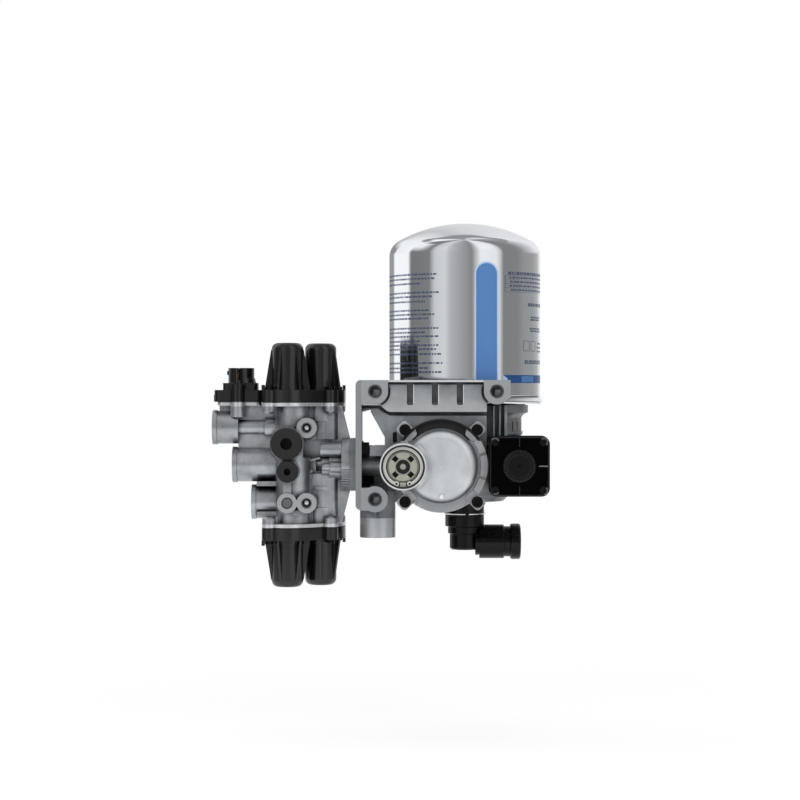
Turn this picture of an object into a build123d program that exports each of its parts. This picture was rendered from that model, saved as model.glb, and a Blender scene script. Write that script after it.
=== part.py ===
from build123d import *
from math import cos, radians, sin, sqrt
import os

os.makedirs("parts", exist_ok=True)

# Air processing unit of a lorry: a spin-on desiccant cartridge on a die-cast dryer housing, with a
# protection valve bolted to the left side. Millimetres. X is to the right, Y runs away from the
# mounting face and Z is up. The origin lies midway between the two upper threaded mounting holes,
# on the faces of their bosses.

# Mounting holes
hole_spacing = 106.4
hole_drop = 94.0
hole_r = 6.2
hole_depth = 14.0
boss_r = 11.4
boss_length = 16.0

# Frame of the dryer housing
axis_z = -64.6
frame_top = 10.0
frame_left = -70.2
side_plate = 5.2
side_depth = 60.0
corner_r = 4.4
wall_front = 9.0
wall_back = 15.0
wall_right = 44.5
panel_front = 4.6
panel_back = 14.0
panel_low = -17.9
panel_groove = 2.0
groove_height = 3.2
groove_depth = 12.0
window_left = -57.0
window_right = -44.8
window_top = -16.0
window_knee = -40.0
window_low = -47.5
slot_x = -35.8
slot_z = -40.2
slot_depth = 15.0
web_top = -53.0
pocket_top = -12.5
pocket_width = 18.6
rib_slot_width = 5.4
rib_slot_length = 19.6
rib_slot_pitch = 21.8
rib_slot_centre = -0.8
rib_slot_depth = 7.4

# Cartridge and the tower that carries it
can_x = 27.5
can_y = 88.0
can_r = 68.5
can_top = 152.6
can_cap_r = 122.0
can_shoulder_r = 15.5
can_rim_r = 69.9
can_rim_top = -6.7
can_rim_low = -11.2
can_floor = -9.0
tower_top = -12.1
tower_collar_r = 57.5
tower_collar_low = -19.0
tower_stem_r = 51.6
tower_foot_r = 52.6
tower_foot_top = -35.8
tower_foot_low = -38.5
tower_body_r = 41.2
tower_body_low = -99.0
tower_stud_r = 19.4
tower_stud_top = 4.0
tower_slots = 36
stud_play = 0.2

# Domed cover with its port
cover_x = 4.3
cover_flange_r = 40.8
cover_screw_circle = 44.3
cover_lug_circle = 42.3
cover_lug_length = 17.0
cover_lug_width = 11.6
cover_seat = -1.0
gasket_thickness = 1.0
cover_flange_front = -6.0
dome_r = 31.0
dome_front = -25.0
dome_round = 8.0
dome_wall = 4.0
dome_crown_r = 160.0
lug_front = -7.5
pad_front = -9.0
pad_inner_r = 34.4
pad_split = 15.7
crescent_low = 22.0
cover_screw_r = 3.0
cover_head_r = 5.0
cover_head_height = 6.0
port_x = -28.8
port_r = 20.1
port_front = -40.0
port_mouth_r = 18.8
port_mouth_depth = 2.0
port_bore_r = 17.1
port_flange_seat = -32.0
port_seat = -18.0
port_throat_r = 7.0
port_cage_r = 14.5
ring_back = -35.0
ring_slot = 1.6
eye_angle = 21.0
cage_plate_r = 12.4
cage_window_r = 9.4
bush_r = 6.0
stem_r = 2.8

# Governor under the square cover
gov_gap = 0.3
gov_side = 52.8
gov_corner_r = 7.5
gov_front = -20.0
gov_seat = -7.2
gov_sheet = 0.8
gov_bore_r = 12.0
gov_bore_depth = 44.0
gov_piston_length = 10.0
knob_r = 14.7
knob_stem_r = 10.6
knob_proud = 2.0
gov_screw_offset = 21.0

# Drain connection below the cartridge
drain_bore_r = 14.6
drain_bore_depth = 34.0
socket_r = 17.7
socket_low = -113.2
socket_plug = 11.0
clip_z = -110.8
spigot_r = 10.9
spigot_length = 9.0
elbow_r = 13.6
elbow_collar_low = -122.0
elbow_step_low = -128.5
elbow_low = -143.4
elbow_bore_r = 8.0
branch_z = -136.2
branch_r = 15.4
branch_start = 40.8
branch_neck = 63.1
nut_start = 68.6
branch_end = 78.1

# Lower-left pipe socket
pipe_x = -51.2
pipe_y = 40.0
pipe_r = 15.8
pipe_low = -129.4
pipe_top = -88.0
pipe_bore_r = 11.5
pipe_bore_depth = 38.0

# Joint between the dryer and the protection valve
joint_y = 35.0
joint_x = -75.8
joint_r = 23.5
passage_r = 6.0
joint_seal_r = 9.4
stud_r = 4.0
stud_y_offset = 12.6
stud_z_offset = 13.4
nut_flats = 13.0
nut_height = 6.5

# Protection valve
left_cap_x = -130.7
left_cap_y = 24.0
right_cap_x = -102.1
right_cap_y = 46.0
plate_top = 1.4
plate_low = -9.1
membrane = 0.8
flange_thickness = 3.1
plate_r = 21.6
cap_top = 42.9
cap_r = 13.9
cap_base_height = 4.0
cap_bore_r = 10.4
cap_fin_foot_r = 20.0
cap_fin_root_r = 11.8
cap_fin_width = 1.8
cap_fins = 6
left_fin_start = 8.0
right_fin_start = 30.0
port_pitch = 33.0
valve_port_r = 14.6
valve_bore_r = 10.3
valve_bore_depth = 16.0
body_left = -141.7
body_right = -86.4
recess_left = -110.4
recess_back = 34.0
recess_top = -42.2
recess_low = -72.6
notch_left = -116.5
notch_back = 42.0
notch_low = -58.0
barrel_ring_low = -87.1
steep_rib_x = -113.2
steep_rib_z = -66.4
long_rib_x = -110.6
long_rib_z = -60.7
boss_rib_x = -121.2
boss_rib_z = -106.2
port_rib_top = -79.1
port_rib_low = -105.7
collar_width = 7.1
collar_grooves = 34
neck_r = 13.0
upper_port_length = 19.0
cap_round = 5.5
cap_screw_r = 2.0
screw_boss_length = 4.6
cap_head_r = 3.6
cap_head_height = 3.0
front_hole_r = 4.7
blind_hole_r = 5.0
big_shank_r = 8.0
small_shank_r = 5.0
contact_r = 0.9
sensor_nose_r = 5.5
stud_proud = 3.5
screw_left_x = -146.0
screw_left_y = 8.5
screw_right_x = -92.6
screw_right_y = 24.5
ear_r = 6.5
piston_r = 11.5
piston_thickness = 3.2
piston_stem_r = 5.0
front_boss_r = 8.8
front_boss_offset = 32.8
ball_boss_x = -113.0
ball_r = 3.7
blind_boss_x = -130.0
big_plug_x = -130.3
big_plug_z = -45.6
big_plug_r = 13.9
big_plug_seat = -1.0
small_plug_x = -129.5
small_plug_z = -69.9
small_plug_r = 9.5
small_plug_seat = -3.0
plug_front = -10.0

# Air ports on the left and the pressure sensor above them
port_y = 35.0
upper_port_end = -197.3
middle_port_end = -179.6
lower_port_end = -162.7
sensor_x = -172.5
sensor_y = 40.0
sensor_left = -195.6
sensor_right = -152.6
sensor_step = 7.6
sensor_top = 20.9
sensor_r = 11.5
sleeve_x = -174.7
sleeve_y = 27.0
sleeve_r = 6.7
sleeve_top = 6.7
sleeve_grooves = 12

# Values that follow from the ones above
hole_x = hole_spacing / 2
plate_inner = frame_left + side_plate
flange_top = plate_low - membrane
flange_low = flange_top - flange_thickness
body_top = flange_low
body_low = 2 * axis_z - flange_low
cap_height = cap_top - plate_top
cap_ceiling = cap_top - 5.0
cap_places = [(left_cap_x, left_cap_y), (right_cap_x, right_cap_y)]
# The four cover screws lie in two pairs, opposite each other across the middle of the two barrels
screw_places = [
    (screw_left_x, screw_left_y),
    (screw_right_x, screw_right_y),
    (left_cap_x + right_cap_x - screw_left_x, left_cap_y + right_cap_y - screw_left_y),
    (left_cap_x + right_cap_x - screw_right_x, left_cap_y + right_cap_y - screw_right_y),
]
stud_places = [
    (joint_y - stud_y_offset, axis_z + stud_z_offset),
    (joint_y + stud_y_offset, axis_z - stud_z_offset),
]
ball_places = [(ball_boss_x, axis_z + front_boss_offset), (ball_boss_x, axis_z - front_boss_offset)]
blind_place = (blind_boss_x, axis_z - front_boss_offset)
port_rows = [
    (upper_port_end, axis_z + port_pitch, valve_port_r),
    (middle_port_end, axis_z, valve_port_r + 0.5),
    (lower_port_end, axis_z - port_pitch, valve_port_r),
]
cover_back = cover_seat - gasket_thickness
gov_x = cover_x + cover_flange_r + gov_gap + gov_side / 2
gov_back = gov_seat - gov_sheet


def front(y):
    """Plane that faces the viewer at depth y, with X across and Z up."""
    return Plane.XZ.offset(-y)


def level(z):
    """Plane that faces up at height z."""
    return Plane.XY.offset(z)


def across(x):
    """Plane that faces +X at x, with Y across and Z up."""
    return Plane.YZ.offset(x)


def crown_points(side_r, top, crown_r, round_r):
    """Where a crowned top meets its shoulder (radius and height), and where the side starts."""
    centre = sqrt((crown_r - round_r) ** 2 - (side_r - round_r) ** 2)
    reach = crown_r / (crown_r - round_r)
    return (side_r - round_r) * reach, top - crown_r + centre * reach, top - crown_r + centre


def flange_outline(inset=0.0):
    """Draws in the open sketch the outline shared by the valve's flanges and spring covers."""
    with Locations(*cap_places):
        Circle(plate_r - inset)
    make_hull()
    with Locations(*screw_places):
        Circle(ear_r - inset)


def spring_along(axis_plane, length, coil_r, wire_r, turns):
    """Round wire wound on a helix that starts on the plane and runs along its normal."""
    with BuildPart() as coil:
        start = axis_plane.offset(wire_r).origin
        height = length - 2 * wire_r
        with BuildLine() as path:
            Helix(height / turns, height, coil_r, center=start, direction=axis_plane.z_dir)
        with BuildSketch(Plane(path.line @ 0, z_dir=path.line % 0)):
            Circle(wire_r)
        sweep(is_frenet=True)
    return coil


# Dryer housing: one aluminium casting with the mounting bosses, the ribbed bar between them, the
# round tower for the cartridge and the flanges for the cover, the governor and the valve
with BuildPart() as dryer_housing:
    # Tower under the cartridge
    with BuildSketch(front(can_y)):
        with BuildLine():
            Polyline(
                (can_x, tower_top),
                (can_x + tower_collar_r, tower_top),
                (can_x + tower_collar_r, tower_collar_low),
            )
            RadiusArc(
                (can_x + tower_collar_r, tower_collar_low),
                (can_x + tower_stem_r, tower_collar_low - 4.5),
                -7.0,
            )
            Polyline(
                (can_x + tower_stem_r, tower_collar_low - 4.5),
                (can_x + tower_stem_r, tower_foot_top),
                (can_x + tower_foot_r, tower_foot_top),
                (can_x + tower_foot_r, tower_foot_low),
                (can_x + tower_body_r, tower_foot_low - 9),
                (can_x + tower_body_r, tower_body_low + 6),
                (can_x + tower_body_r - 6, tower_body_low),
                (can_x, tower_body_low),
                (can_x, tower_top),
            )
        make_face()
    revolve(axis=Axis((can_x, can_y, 0), (0, 0, 1)))
    with BuildSketch(level(tower_top)):
        with Locations((can_x, can_y)):
            Circle(tower_stud_r)
    extrude(amount=tower_stud_top - tower_top)
    with BuildSketch(level(tower_foot_top)):
        with Locations((can_x, can_y)):
            with PolarLocations(tower_stem_r, tower_slots, start_angle=5):
                Rectangle(3.6, 1.7)
    extrude(amount=9.0, mode=Mode.SUBTRACT)
    # Upright plate that carries the protection valve
    with BuildSketch(front(side_depth)):
        with Locations((frame_left, (frame_top - hole_drop - boss_r + 2) / 2)):
            Rectangle(side_plate, frame_top + hole_drop + boss_r - 2, align=(Align.MIN, Align.CENTER))
    extrude(amount=side_depth)
    fillet(
        dryer_housing.edges().filter_by(Axis.Y).group_by(Axis.X)[0],
        radius=corner_r,
    )
    # Upper bosses, squared off towards the top edge
    with BuildSketch(front(boss_length)):
        with Locations((-hole_x, 0), (hole_x, 0)):
            Circle(boss_r)
            Rectangle(2 * boss_r, frame_top, align=(Align.CENTER, Align.MIN))
        with Locations((plate_inner, frame_top)):
            Rectangle(boss_r, frame_top + boss_r, align=(Align.MIN, Align.MAX))
        with Locations((hole_x, frame_top)):
            Rectangle(boss_r + 0.6, frame_top + boss_r / 2, align=(Align.MIN, Align.MAX))
    extrude(amount=boss_length)
    # Lower boss, which reaches back to the pipe socket
    with BuildSketch(front(pipe_y - 4)):
        with Locations((-hole_x, -hole_drop)):
            Circle(boss_r)
        with Locations((plate_inner - 1, -hole_drop)):
            Rectangle(-plate_inner - hole_x + 1, 2 * boss_r - 3, align=(Align.MIN, Align.CENTER))
    extrude(amount=pipe_y - 4)
    # Bar between the upper bosses, with a lip along its top edge
    with BuildSketch(front(panel_back)):
        with BuildLine():
            Polyline(
                (-hole_x, frame_top),
                (hole_x, frame_top),
                (hole_x, 0),
                (wall_right, -boss_r),
                (wall_right, panel_low),
                (-hole_x + boss_r + 2.5, panel_low),
            )
            Spline(
                (-hole_x + boss_r + 2.5, panel_low),
                (-hole_x + boss_r - 2.5, panel_low + 2.2),
                (-hole_x + 4.3, -boss_r),
                tangents=((-1, 0), (-0.6, 0.8)),
            )
            Polyline((-hole_x + 4.3, -boss_r), (-hole_x, 0), (-hole_x, frame_top))
        make_face()
    extrude(amount=panel_back - panel_front)
    with BuildSketch(front(panel_front)):
        with Locations((0, frame_top)):
            Rectangle(2 * hole_x, 1.8, align=(Align.CENTER, Align.MAX))
    extrude(amount=panel_front - 0.6)
    with BuildSketch(front(panel_front)):
        with Locations((rib_slot_centre, -2.0)):
            with GridLocations(rib_slot_pitch, 0, 3, 1):
                RectangleRounded(rib_slot_width, rib_slot_length, 1.5)
    extrude(amount=-rib_slot_depth, mode=Mode.SUBTRACT)
    # Groove that sets the panel off from the bosses and the lip
    with BuildSketch(front(panel_front)):
        with Locations((-hole_x, 0), (hole_x, 0)):
            Circle(boss_r + panel_groove)
        with Locations((-hole_x, 0), (hole_x, 0)):
            Circle(boss_r, mode=Mode.SUBTRACT)
        with Locations((0, frame_top - 1.8)):
            Rectangle(2 * (hole_x - boss_r), panel_groove, align=(Align.CENTER, Align.MAX))
        with Locations((0, frame_top - 1.8)):
            Rectangle(2 * hole_x - 4, 20.0, align=(Align.CENTER, Align.MAX), mode=Mode.INTERSECT)
    extrude(amount=-7.0, mode=Mode.SUBTRACT)
    # The bosses are trimmed level with the bar's top edge
    with Locations((0, -1, frame_top)):
        Box(150.0, 18.0, boss_r, align=(Align.CENTER, Align.MIN, Align.MIN), mode=Mode.SUBTRACT)
    # Front wall beside the window
    with BuildSketch(front(wall_back)):
        with BuildLine():
            Polyline(
                (plate_inner, -boss_r + 2),
                (wall_right, -boss_r + 2),
                (wall_right, axis_z),
                (window_right, axis_z),
                (window_right, window_knee),
                (window_left, window_top - 2),
                (window_left, window_top),
                (plate_inner, window_top - 2),
                close=True,
            )
        make_face()
    extrude(amount=wall_back - wall_front)
    # Shelf and returns that tie the front wall to the tower
    with Locations((wall_right, wall_front, -21.5)):
        Box(80.0, 45.0, 5.0, align=(Align.MAX, Align.MIN, Align.CENTER))
    with Locations((wall_right, wall_front, pocket_top)):
        Box(3.0, 40.0, 32.9, align=(Align.MAX, Align.MIN, Align.MAX))
    # Bar behind the wall's top, with the deep groove that runs under the boss and the panel
    with Locations((plate_inner - 1, wall_back, panel_low + 6.0)):
        Box(window_right - plate_inner + 1, 9.0, panel_low + 6.0 - window_top,
            align=(Align.MIN, Align.MIN, Align.MAX))
    with Locations((window_left + 5.0, wall_back, panel_low + 6.0)):
        Box(wall_right - window_left - 5.0, 9.0, 14.0, align=(Align.MIN, Align.MIN, Align.MAX))
    with BuildSketch(front(wall_front)):
        with BuildLine():
            Polyline(
                (plate_inner, -boss_r - 0.2),
                (-hole_x + 5.0, -boss_r - 0.2),
                (-hole_x + 10.0, panel_low + 2.4),
                (-hole_x + 15.0, panel_low),
                (wall_right, panel_low),
                (wall_right, panel_low - groove_height),
                (-hole_x + 13.0, panel_low - groove_height),
                (-hole_x + 7.0, panel_low - groove_height + 3.0),
                (-hole_x + 3.0, -boss_r - groove_height - 0.2),
                (plate_inner, -boss_r - groove_height - 0.2),
                close=True,
            )
        make_face()
    extrude(amount=-groove_depth, mode=Mode.SUBTRACT)
    # Ledge under the window and the web behind the air channel
    with Locations((window_right + 4, wall_front, window_low)):
        Box(13.4, 34.0, 3.0, align=(Align.MAX, Align.MIN, Align.MAX))
    with Locations((window_right + 4, wall_front, window_low)):
        Box(17.0, 8.0, 9.0, align=(Align.MAX, Align.MIN, Align.MAX))
    with Locations((slot_x, wall_back, slot_z)):
        Box(18.0, 12.0, 19.0, align=(Align.CENTER, Align.MIN, Align.CENTER))
    with BuildSketch(front(wall_front)):
        with Locations((slot_x, slot_z)):
            SlotOverall(9.5, 3.6, rotation=90)
    extrude(amount=-slot_depth, mode=Mode.SUBTRACT)
    with Locations((plate_inner - 1, 56.0, -hole_drop - 5)):
        Box(cover_x - plate_inner - 20, 4.0, hole_drop + 5 + web_top, align=(Align.MIN, Align.MIN, Align.MIN))
    # Pocket under the right boss: a back wall, an outer rib and two thin ribs deep inside
    with Locations((wall_right - 1, 32.0, pocket_top)):
        Box(pocket_width + 1, 12.0, 28.0, align=(Align.MIN, Align.MIN, Align.MAX))
    with Locations((wall_right + pocket_width, 18.0, pocket_top)):
        Box(2.6, 18.0, 28.0, align=(Align.MAX, Align.MIN, Align.MAX))
    with Locations((wall_right + 6.8, 20.0, pocket_top), (wall_right + 12.1, 20.0, pocket_top)):
        Box(1.6, 13.0, 28.0, align=(Align.CENTER, Align.MIN, Align.MAX))
    # Chamber behind the domed cover, with its flange and screw lugs
    with BuildSketch(front(72.0)):
        with Locations((cover_x, axis_z)):
            Circle(cover_flange_r - 4)
    extrude(amount=72.0 - cover_seat)
    with BuildSketch(front(7.0)):
        with Locations((cover_x, axis_z)):
            Circle(cover_flange_r)
        with Locations((port_x, axis_z)):
            Circle(port_r)
    extrude(amount=7.0 - cover_seat)
    with BuildSketch(front(15.0)):
        with Locations((cover_x, axis_z)):
            with PolarLocations(cover_lug_circle, 4, start_angle=45):
                RectangleRounded(cover_lug_length, cover_lug_width, 3.4)
    extrude(amount=15.0 - cover_seat)
    # Governor block and its square flange
    with BuildSketch(front(78.0)):
        with Locations((gov_x, axis_z)):
            RectangleRounded(gov_side - 7, gov_side - 7, gov_corner_r)
    extrude(amount=78.0 - gov_seat)
    with BuildSketch(front(4.0)):
        with Locations((gov_x, axis_z)):
            RectangleRounded(gov_side - 2, gov_side - 2, gov_corner_r)
    extrude(amount=4.0 - gov_seat)
    # Air channel to the protection valve and its flange pad
    with BuildSketch(across(joint_x)):
        with Locations((joint_y, axis_z)):
            Circle(joint_r)
    extrude(amount=plate_inner - joint_x)
    with BuildSketch(across(plate_inner)):
        with Locations((joint_y, axis_z)):
            Circle(stud_z_offset - 3)
    extrude(amount=cover_x - plate_inner - 10)
    # Boss of the passage from the inlet port
    with BuildSketch(front(joint_y)):
        with Locations((port_x, axis_z)):
            Circle(port_throat_r + 4)
    extrude(amount=joint_y - 5)
    # Lower-left pipe socket
    with BuildSketch(level(pipe_low)):
        with Locations((pipe_x, pipe_y)):
            Circle(pipe_r)
    extrude(amount=pipe_top - pipe_low)
    with Locations((-hole_x, 16.0, -hole_drop - boss_r)):
        Box(2.4, 10.0, 12.0, align=(Align.CENTER, Align.MIN, Align.CENTER))
    # Threaded mounting holes
    with Locations(*[front(0) * Location((x, z)) for x, z in (
        (-hole_x, 0), (hole_x, 0), (-hole_x, -hole_drop))]):
        Hole(hole_r, depth=hole_depth)
    # Screw holes of the cover
    with Locations(front(cover_seat) * Location((cover_x, axis_z))):
        with PolarLocations(cover_screw_circle, 4, start_angle=45):
            Hole(cover_screw_r + 0.05, depth=14.0)
    # Air passages: under the port, into the drain, through the stud and to the valve
    with Locations(front(cover_seat) * Location((port_x, axis_z))):
        Hole(port_throat_r, depth=joint_y - cover_seat)
    with Locations(level(tower_stud_top) * Location((can_x, can_y))):
        Hole(tower_stud_r - 6, depth=24.0)
    with BuildSketch(level(tower_body_low)):
        with Locations((can_x, can_y)):
            Circle(drain_bore_r)
    extrude(amount=drain_bore_depth, mode=Mode.SUBTRACT)
    with BuildSketch(level(pipe_low)):
        with Locations((pipe_x, pipe_y)):
            Circle(pipe_bore_r)
    extrude(amount=pipe_bore_depth, mode=Mode.SUBTRACT)
    with BuildSketch(across(joint_x)):
        with Locations((joint_y, axis_z)):
            Circle(passage_r)
    extrude(amount=46.0, mode=Mode.SUBTRACT)
    with Locations(front(gov_seat) * Location((gov_x, axis_z))):
        Hole(gov_bore_r, depth=gov_bore_depth)
        with GridLocations(2 * gov_screw_offset, 2 * gov_screw_offset, 2, 2):
            Hole(2.05, depth=8.5)
    # Stud holes through the flange pad and the side plate, and the seal's groove
    with BuildSketch(across(joint_x)):
        with Locations(*stud_places):
            Circle(stud_r + 0.3)
    extrude(amount=plate_inner - joint_x, mode=Mode.SUBTRACT)
    with BuildSketch(across(joint_x)):
        with Locations((joint_y, axis_z)):
            Circle(joint_seal_r + 1.3)
            Circle(joint_seal_r - 1.3, mode=Mode.SUBTRACT)
    extrude(amount=2.1, mode=Mode.SUBTRACT)
dryer_housing.part.label = "dryer_housing"
export_step(dryer_housing.part, "parts/dryer_housing.step")
# Desiccant cartridge: a sealed deep-drawn steel can with a rolled rim. It is filled and closed for
# life, so it is one solid with the threaded socket for the tower's stud.
can_edge_r, can_edge_z, can_side_z = crown_points(can_r, can_top, can_cap_r, can_shoulder_r)
with BuildPart() as desiccant_cartridge:
    with BuildSketch(front(can_y)):
        with BuildLine():
            RadiusArc((can_x, can_top), (can_x + can_edge_r, can_edge_z), can_cap_r)
            RadiusArc((can_x + can_edge_r, can_edge_z), (can_x + can_r, can_side_z), can_shoulder_r)
            Polyline(
                (can_x + can_r, can_side_z),
                (can_x + can_r, can_rim_top + 2.0),
                (can_x + can_r - 0.7, can_rim_top + 1.3),
                (can_x + can_r, can_rim_top + 0.7),
                (can_x + can_rim_r, can_rim_top),
                (can_x + can_rim_r, can_rim_low + 0.6),
                (can_x + can_rim_r - 0.6, can_rim_low),
                (can_x + can_rim_r - 3.2, can_rim_low),
                (can_x + can_rim_r - 3.2, can_floor),
                (can_x + tower_stud_r + stud_play, can_floor),
                (can_x + tower_stud_r + stud_play, tower_stud_top + 2),
                (can_x, tower_stud_top + 2),
                (can_x, can_top),
            )
        make_face()
    revolve(axis=Axis((can_x, can_y, 0), (0, 0, 1)))
desiccant_cartridge.part.label = "desiccant_cartridge"
export_step(desiccant_cartridge.part, "parts/desiccant_cartridge.step")

# Seal between the cartridge and the tower
with BuildPart() as cartridge_seal:
    with BuildSketch(front(can_y)):
        with Locations((can_x + tower_stem_r, (tower_top + can_floor) / 2)):
            RectangleRounded(7.0, can_floor - tower_top, 0.9)
    revolve(axis=Axis((can_x, can_y, 0), (0, 0, 1)))
cartridge_seal.part.label = "cartridge_seal"
export_step(cartridge_seal.part, "parts/cartridge_seal.step")

# Domed cover: one casting with a crowned dome, a ring of raised pads, four lugs and the port tube
dome_edge_r, dome_edge, dome_side = crown_points(dome_r, -dome_front, dome_crown_r, dome_round)
with BuildPart() as domed_cover:
    with BuildSketch(level(axis_z)):
        with BuildLine():
            RadiusArc((cover_x, dome_front), (cover_x + dome_edge_r, -dome_edge), -dome_crown_r)
            RadiusArc((cover_x + dome_edge_r, -dome_edge), (cover_x + dome_r, -dome_side), -dome_round)
            Polyline(
                (cover_x + dome_r, -dome_side),
                (cover_x + dome_r, cover_back),
                (cover_x, cover_back),
                (cover_x, dome_front),
            )
        make_face()
    revolve(axis=Axis((cover_x, 0, axis_z), (0, 1, 0)))
    with BuildSketch(front(cover_back)):
        with Locations((cover_x, axis_z)):
            Circle(cover_flange_r)
        with Locations((port_x, axis_z)):
            Circle(port_r)
    extrude(amount=cover_back - cover_flange_front)
    with BuildSketch(front(cover_back)):
        with Locations((cover_x, axis_z)):
            Circle(cover_flange_r - 1.4)
            Circle(dome_r + 1.4, mode=Mode.SUBTRACT)
            Rectangle(2 * cover_flange_r, cover_flange_r, align=(Align.CENTER, Align.MIN), mode=Mode.INTERSECT)
        with Locations((cover_x, axis_z)):
            Rectangle(2 * cover_flange_r, crescent_low, align=(Align.CENTER, Align.MIN), mode=Mode.SUBTRACT)
    extrude(amount=cover_back - cover_flange_front, mode=Mode.SUBTRACT)
    with BuildSketch(front(cover_back)):
        with Locations((cover_x, axis_z)):
            with PolarLocations(cover_lug_circle, 4, start_angle=45):
                RectangleRounded(cover_lug_length, cover_lug_width, 3.4)
    extrude(amount=cover_back - lug_front)
    with BuildSketch(front(cover_flange_front)):
        with Locations((cover_x, axis_z)):
            Circle(cover_flange_r)
            Circle(pad_inner_r, mode=Mode.SUBTRACT)
            with PolarLocations(cover_flange_r - 3, 4, start_angle=pad_split):
                Rectangle(12.0, 2.6, mode=Mode.SUBTRACT)
            with PolarLocations(cover_flange_r - 3, 4, start_angle=-pad_split):
                Rectangle(12.0, 2.6, mode=Mode.SUBTRACT)
            with PolarLocations(cover_flange_r - 3, 4, start_angle=45):
                Rectangle(12.0, 11.0, mode=Mode.SUBTRACT)
            with PolarLocations(cover_flange_r, 2, start_angle=90):
                Rectangle(2 * cover_flange_r, 44.0, mode=Mode.SUBTRACT)
    extrude(amount=cover_flange_front - pad_front)
    with BuildSketch(front(cover_back)):
        with Locations((port_x, axis_z)):
            Circle(port_r)
    extrude(amount=cover_back - port_front)
    # Flare where the port tube runs out of the dome
    with BuildSketch(front(dome_front + 1.0)):
        with Locations((port_x, axis_z)):
            Circle(port_r + 3.8)
        with Locations((cover_x, axis_z)):
            Circle(dome_r - 3.0, mode=Mode.INTERSECT)
    extrude(amount=3.4, taper=45)
    # Hollow dome, beside the port tube
    with BuildSketch(front(cover_back)):
        with Locations((cover_x, axis_z)):
            Circle(dome_r - dome_wall)
        with Locations((port_x, axis_z)):
            Circle(port_r + 0.5, mode=Mode.SUBTRACT)
    extrude(amount=cover_back - dome_front - dome_wall - 2, mode=Mode.SUBTRACT)
    # Port bore, stepped for the seal, the retaining ring and the valve cage
    with Locations(front(port_front) * Location((port_x, axis_z))):
        Hole(port_mouth_r, depth=port_mouth_depth)
        Hole(port_bore_r, depth=port_flange_seat - port_front)
        Hole(port_cage_r + 0.1, depth=port_seat - port_front)
        Hole(port_throat_r, depth=cover_back - port_front)
    with BuildSketch(front(ring_back)):
        with Locations((port_x, axis_z)):
            Circle(port_bore_r + 0.8)
            Circle(port_bore_r - 1, mode=Mode.SUBTRACT)
    extrude(amount=ring_slot, mode=Mode.SUBTRACT)
    with Locations(front(lug_front) * Location((cover_x, axis_z))):
        with PolarLocations(cover_screw_circle, 4, start_angle=45):
            Hole(cover_screw_r + 0.3, depth=cover_back - lug_front)
domed_cover.part.label = "domed_cover"
export_step(domed_cover.part, "parts/domed_cover.step")

# Flat gasket between the chamber and the cover
with BuildPart() as cover_gasket:
    with BuildSketch(front(cover_seat)):
        with Locations((cover_x, axis_z)):
            Circle(cover_flange_r - 0.4)
        with Locations((port_x, axis_z)):
            Circle(port_r - 0.4)
        with Locations((cover_x, axis_z)):
            Circle(dome_r - dome_wall, mode=Mode.SUBTRACT)
        with Locations((port_x, axis_z)):
            Circle(port_r - 2.5)
            Circle(port_throat_r + 3, mode=Mode.SUBTRACT)
        with Locations((cover_x, axis_z)):
            with PolarLocations(cover_lug_circle, 4, start_angle=45):
                RectangleRounded(cover_lug_length - 1, cover_lug_width - 1, 2.9)
            with PolarLocations(cover_screw_circle, 4, start_angle=45):
                Circle(cover_screw_r + 0.3, mode=Mode.SUBTRACT)
    extrude(amount=gasket_thickness)
cover_gasket.part.label = "cover_gasket"
export_step(cover_gasket.part, "parts/cover_gasket.step")

# Four socket-head screws of the domed cover
with BuildPart() as cover_screws:
    with BuildSketch(front(lug_front)):
        with Locations((cover_x, axis_z)):
            with PolarLocations(cover_screw_circle, 4, start_angle=45):
                Circle(cover_head_r)
    extrude(amount=cover_head_height)
    fillet(cover_screws.edges().filter_by(GeomType.CIRCLE).group_by(Axis.Y)[0], radius=0.6)
    with BuildSketch(front(lug_front - cover_head_height)):
        with Locations((cover_x, axis_z)):
            with PolarLocations(cover_screw_circle, 4, start_angle=45):
                RegularPolygon(2.9, 6)
    extrude(amount=-3.0, mode=Mode.SUBTRACT)
    with BuildSketch(front(lug_front)):
        with Locations((cover_x, axis_z)):
            with PolarLocations(cover_screw_circle, 4, start_angle=45):
                Circle(cover_screw_r)
    extrude(amount=-20.0)
cover_screws.part.label = "cover_screws"
export_step(cover_screws.part, "parts/cover_screws.step")

# Rubber lip seal in the port's mouth
with BuildPart() as port_seal:
    with BuildSketch(level(axis_z)):
        with Locations((port_x + (port_mouth_r + port_bore_r) / 2, port_front + port_mouth_depth)):
            RectangleRounded(
                port_mouth_r - port_bore_r - 0.2, port_mouth_depth - 0.3, 0.5,
                align=(Align.CENTER, Align.MAX),
            )
    revolve(axis=Axis((port_x, 0, axis_z), (0, 1, 0)))
port_seal.part.label = "port_seal"
export_step(port_seal.part, "parts/port_seal.step")

# Retaining ring of spring steel with two plier eyes at its gap
with BuildPart() as port_retaining_ring:
    with BuildSketch(front(ring_back)):
        with Locations((port_x, axis_z)):
            Circle(port_bore_r + 0.7)
            Circle(port_cage_r + 0.2, mode=Mode.SUBTRACT)
        with Locations((port_x, axis_z - port_bore_r)):
            Rectangle(9.4, 8.0, mode=Mode.SUBTRACT)
        with Locations((port_x, axis_z)):
            with PolarLocations(port_bore_r - 1.5, 2, start_angle=-90 - eye_angle, angular_range=2 * eye_angle,
                                endpoint=True):
                Circle(2.2)
            with PolarLocations(port_bore_r - 1.5, 2, start_angle=-90 - eye_angle, angular_range=2 * eye_angle,
                                endpoint=True):
                Circle(0.95, mode=Mode.SUBTRACT)
    extrude(amount=ring_slot - 0.2)
port_retaining_ring.part.label = "port_retaining_ring"
export_step(port_retaining_ring.part, "parts/port_retaining_ring.step")

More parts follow.
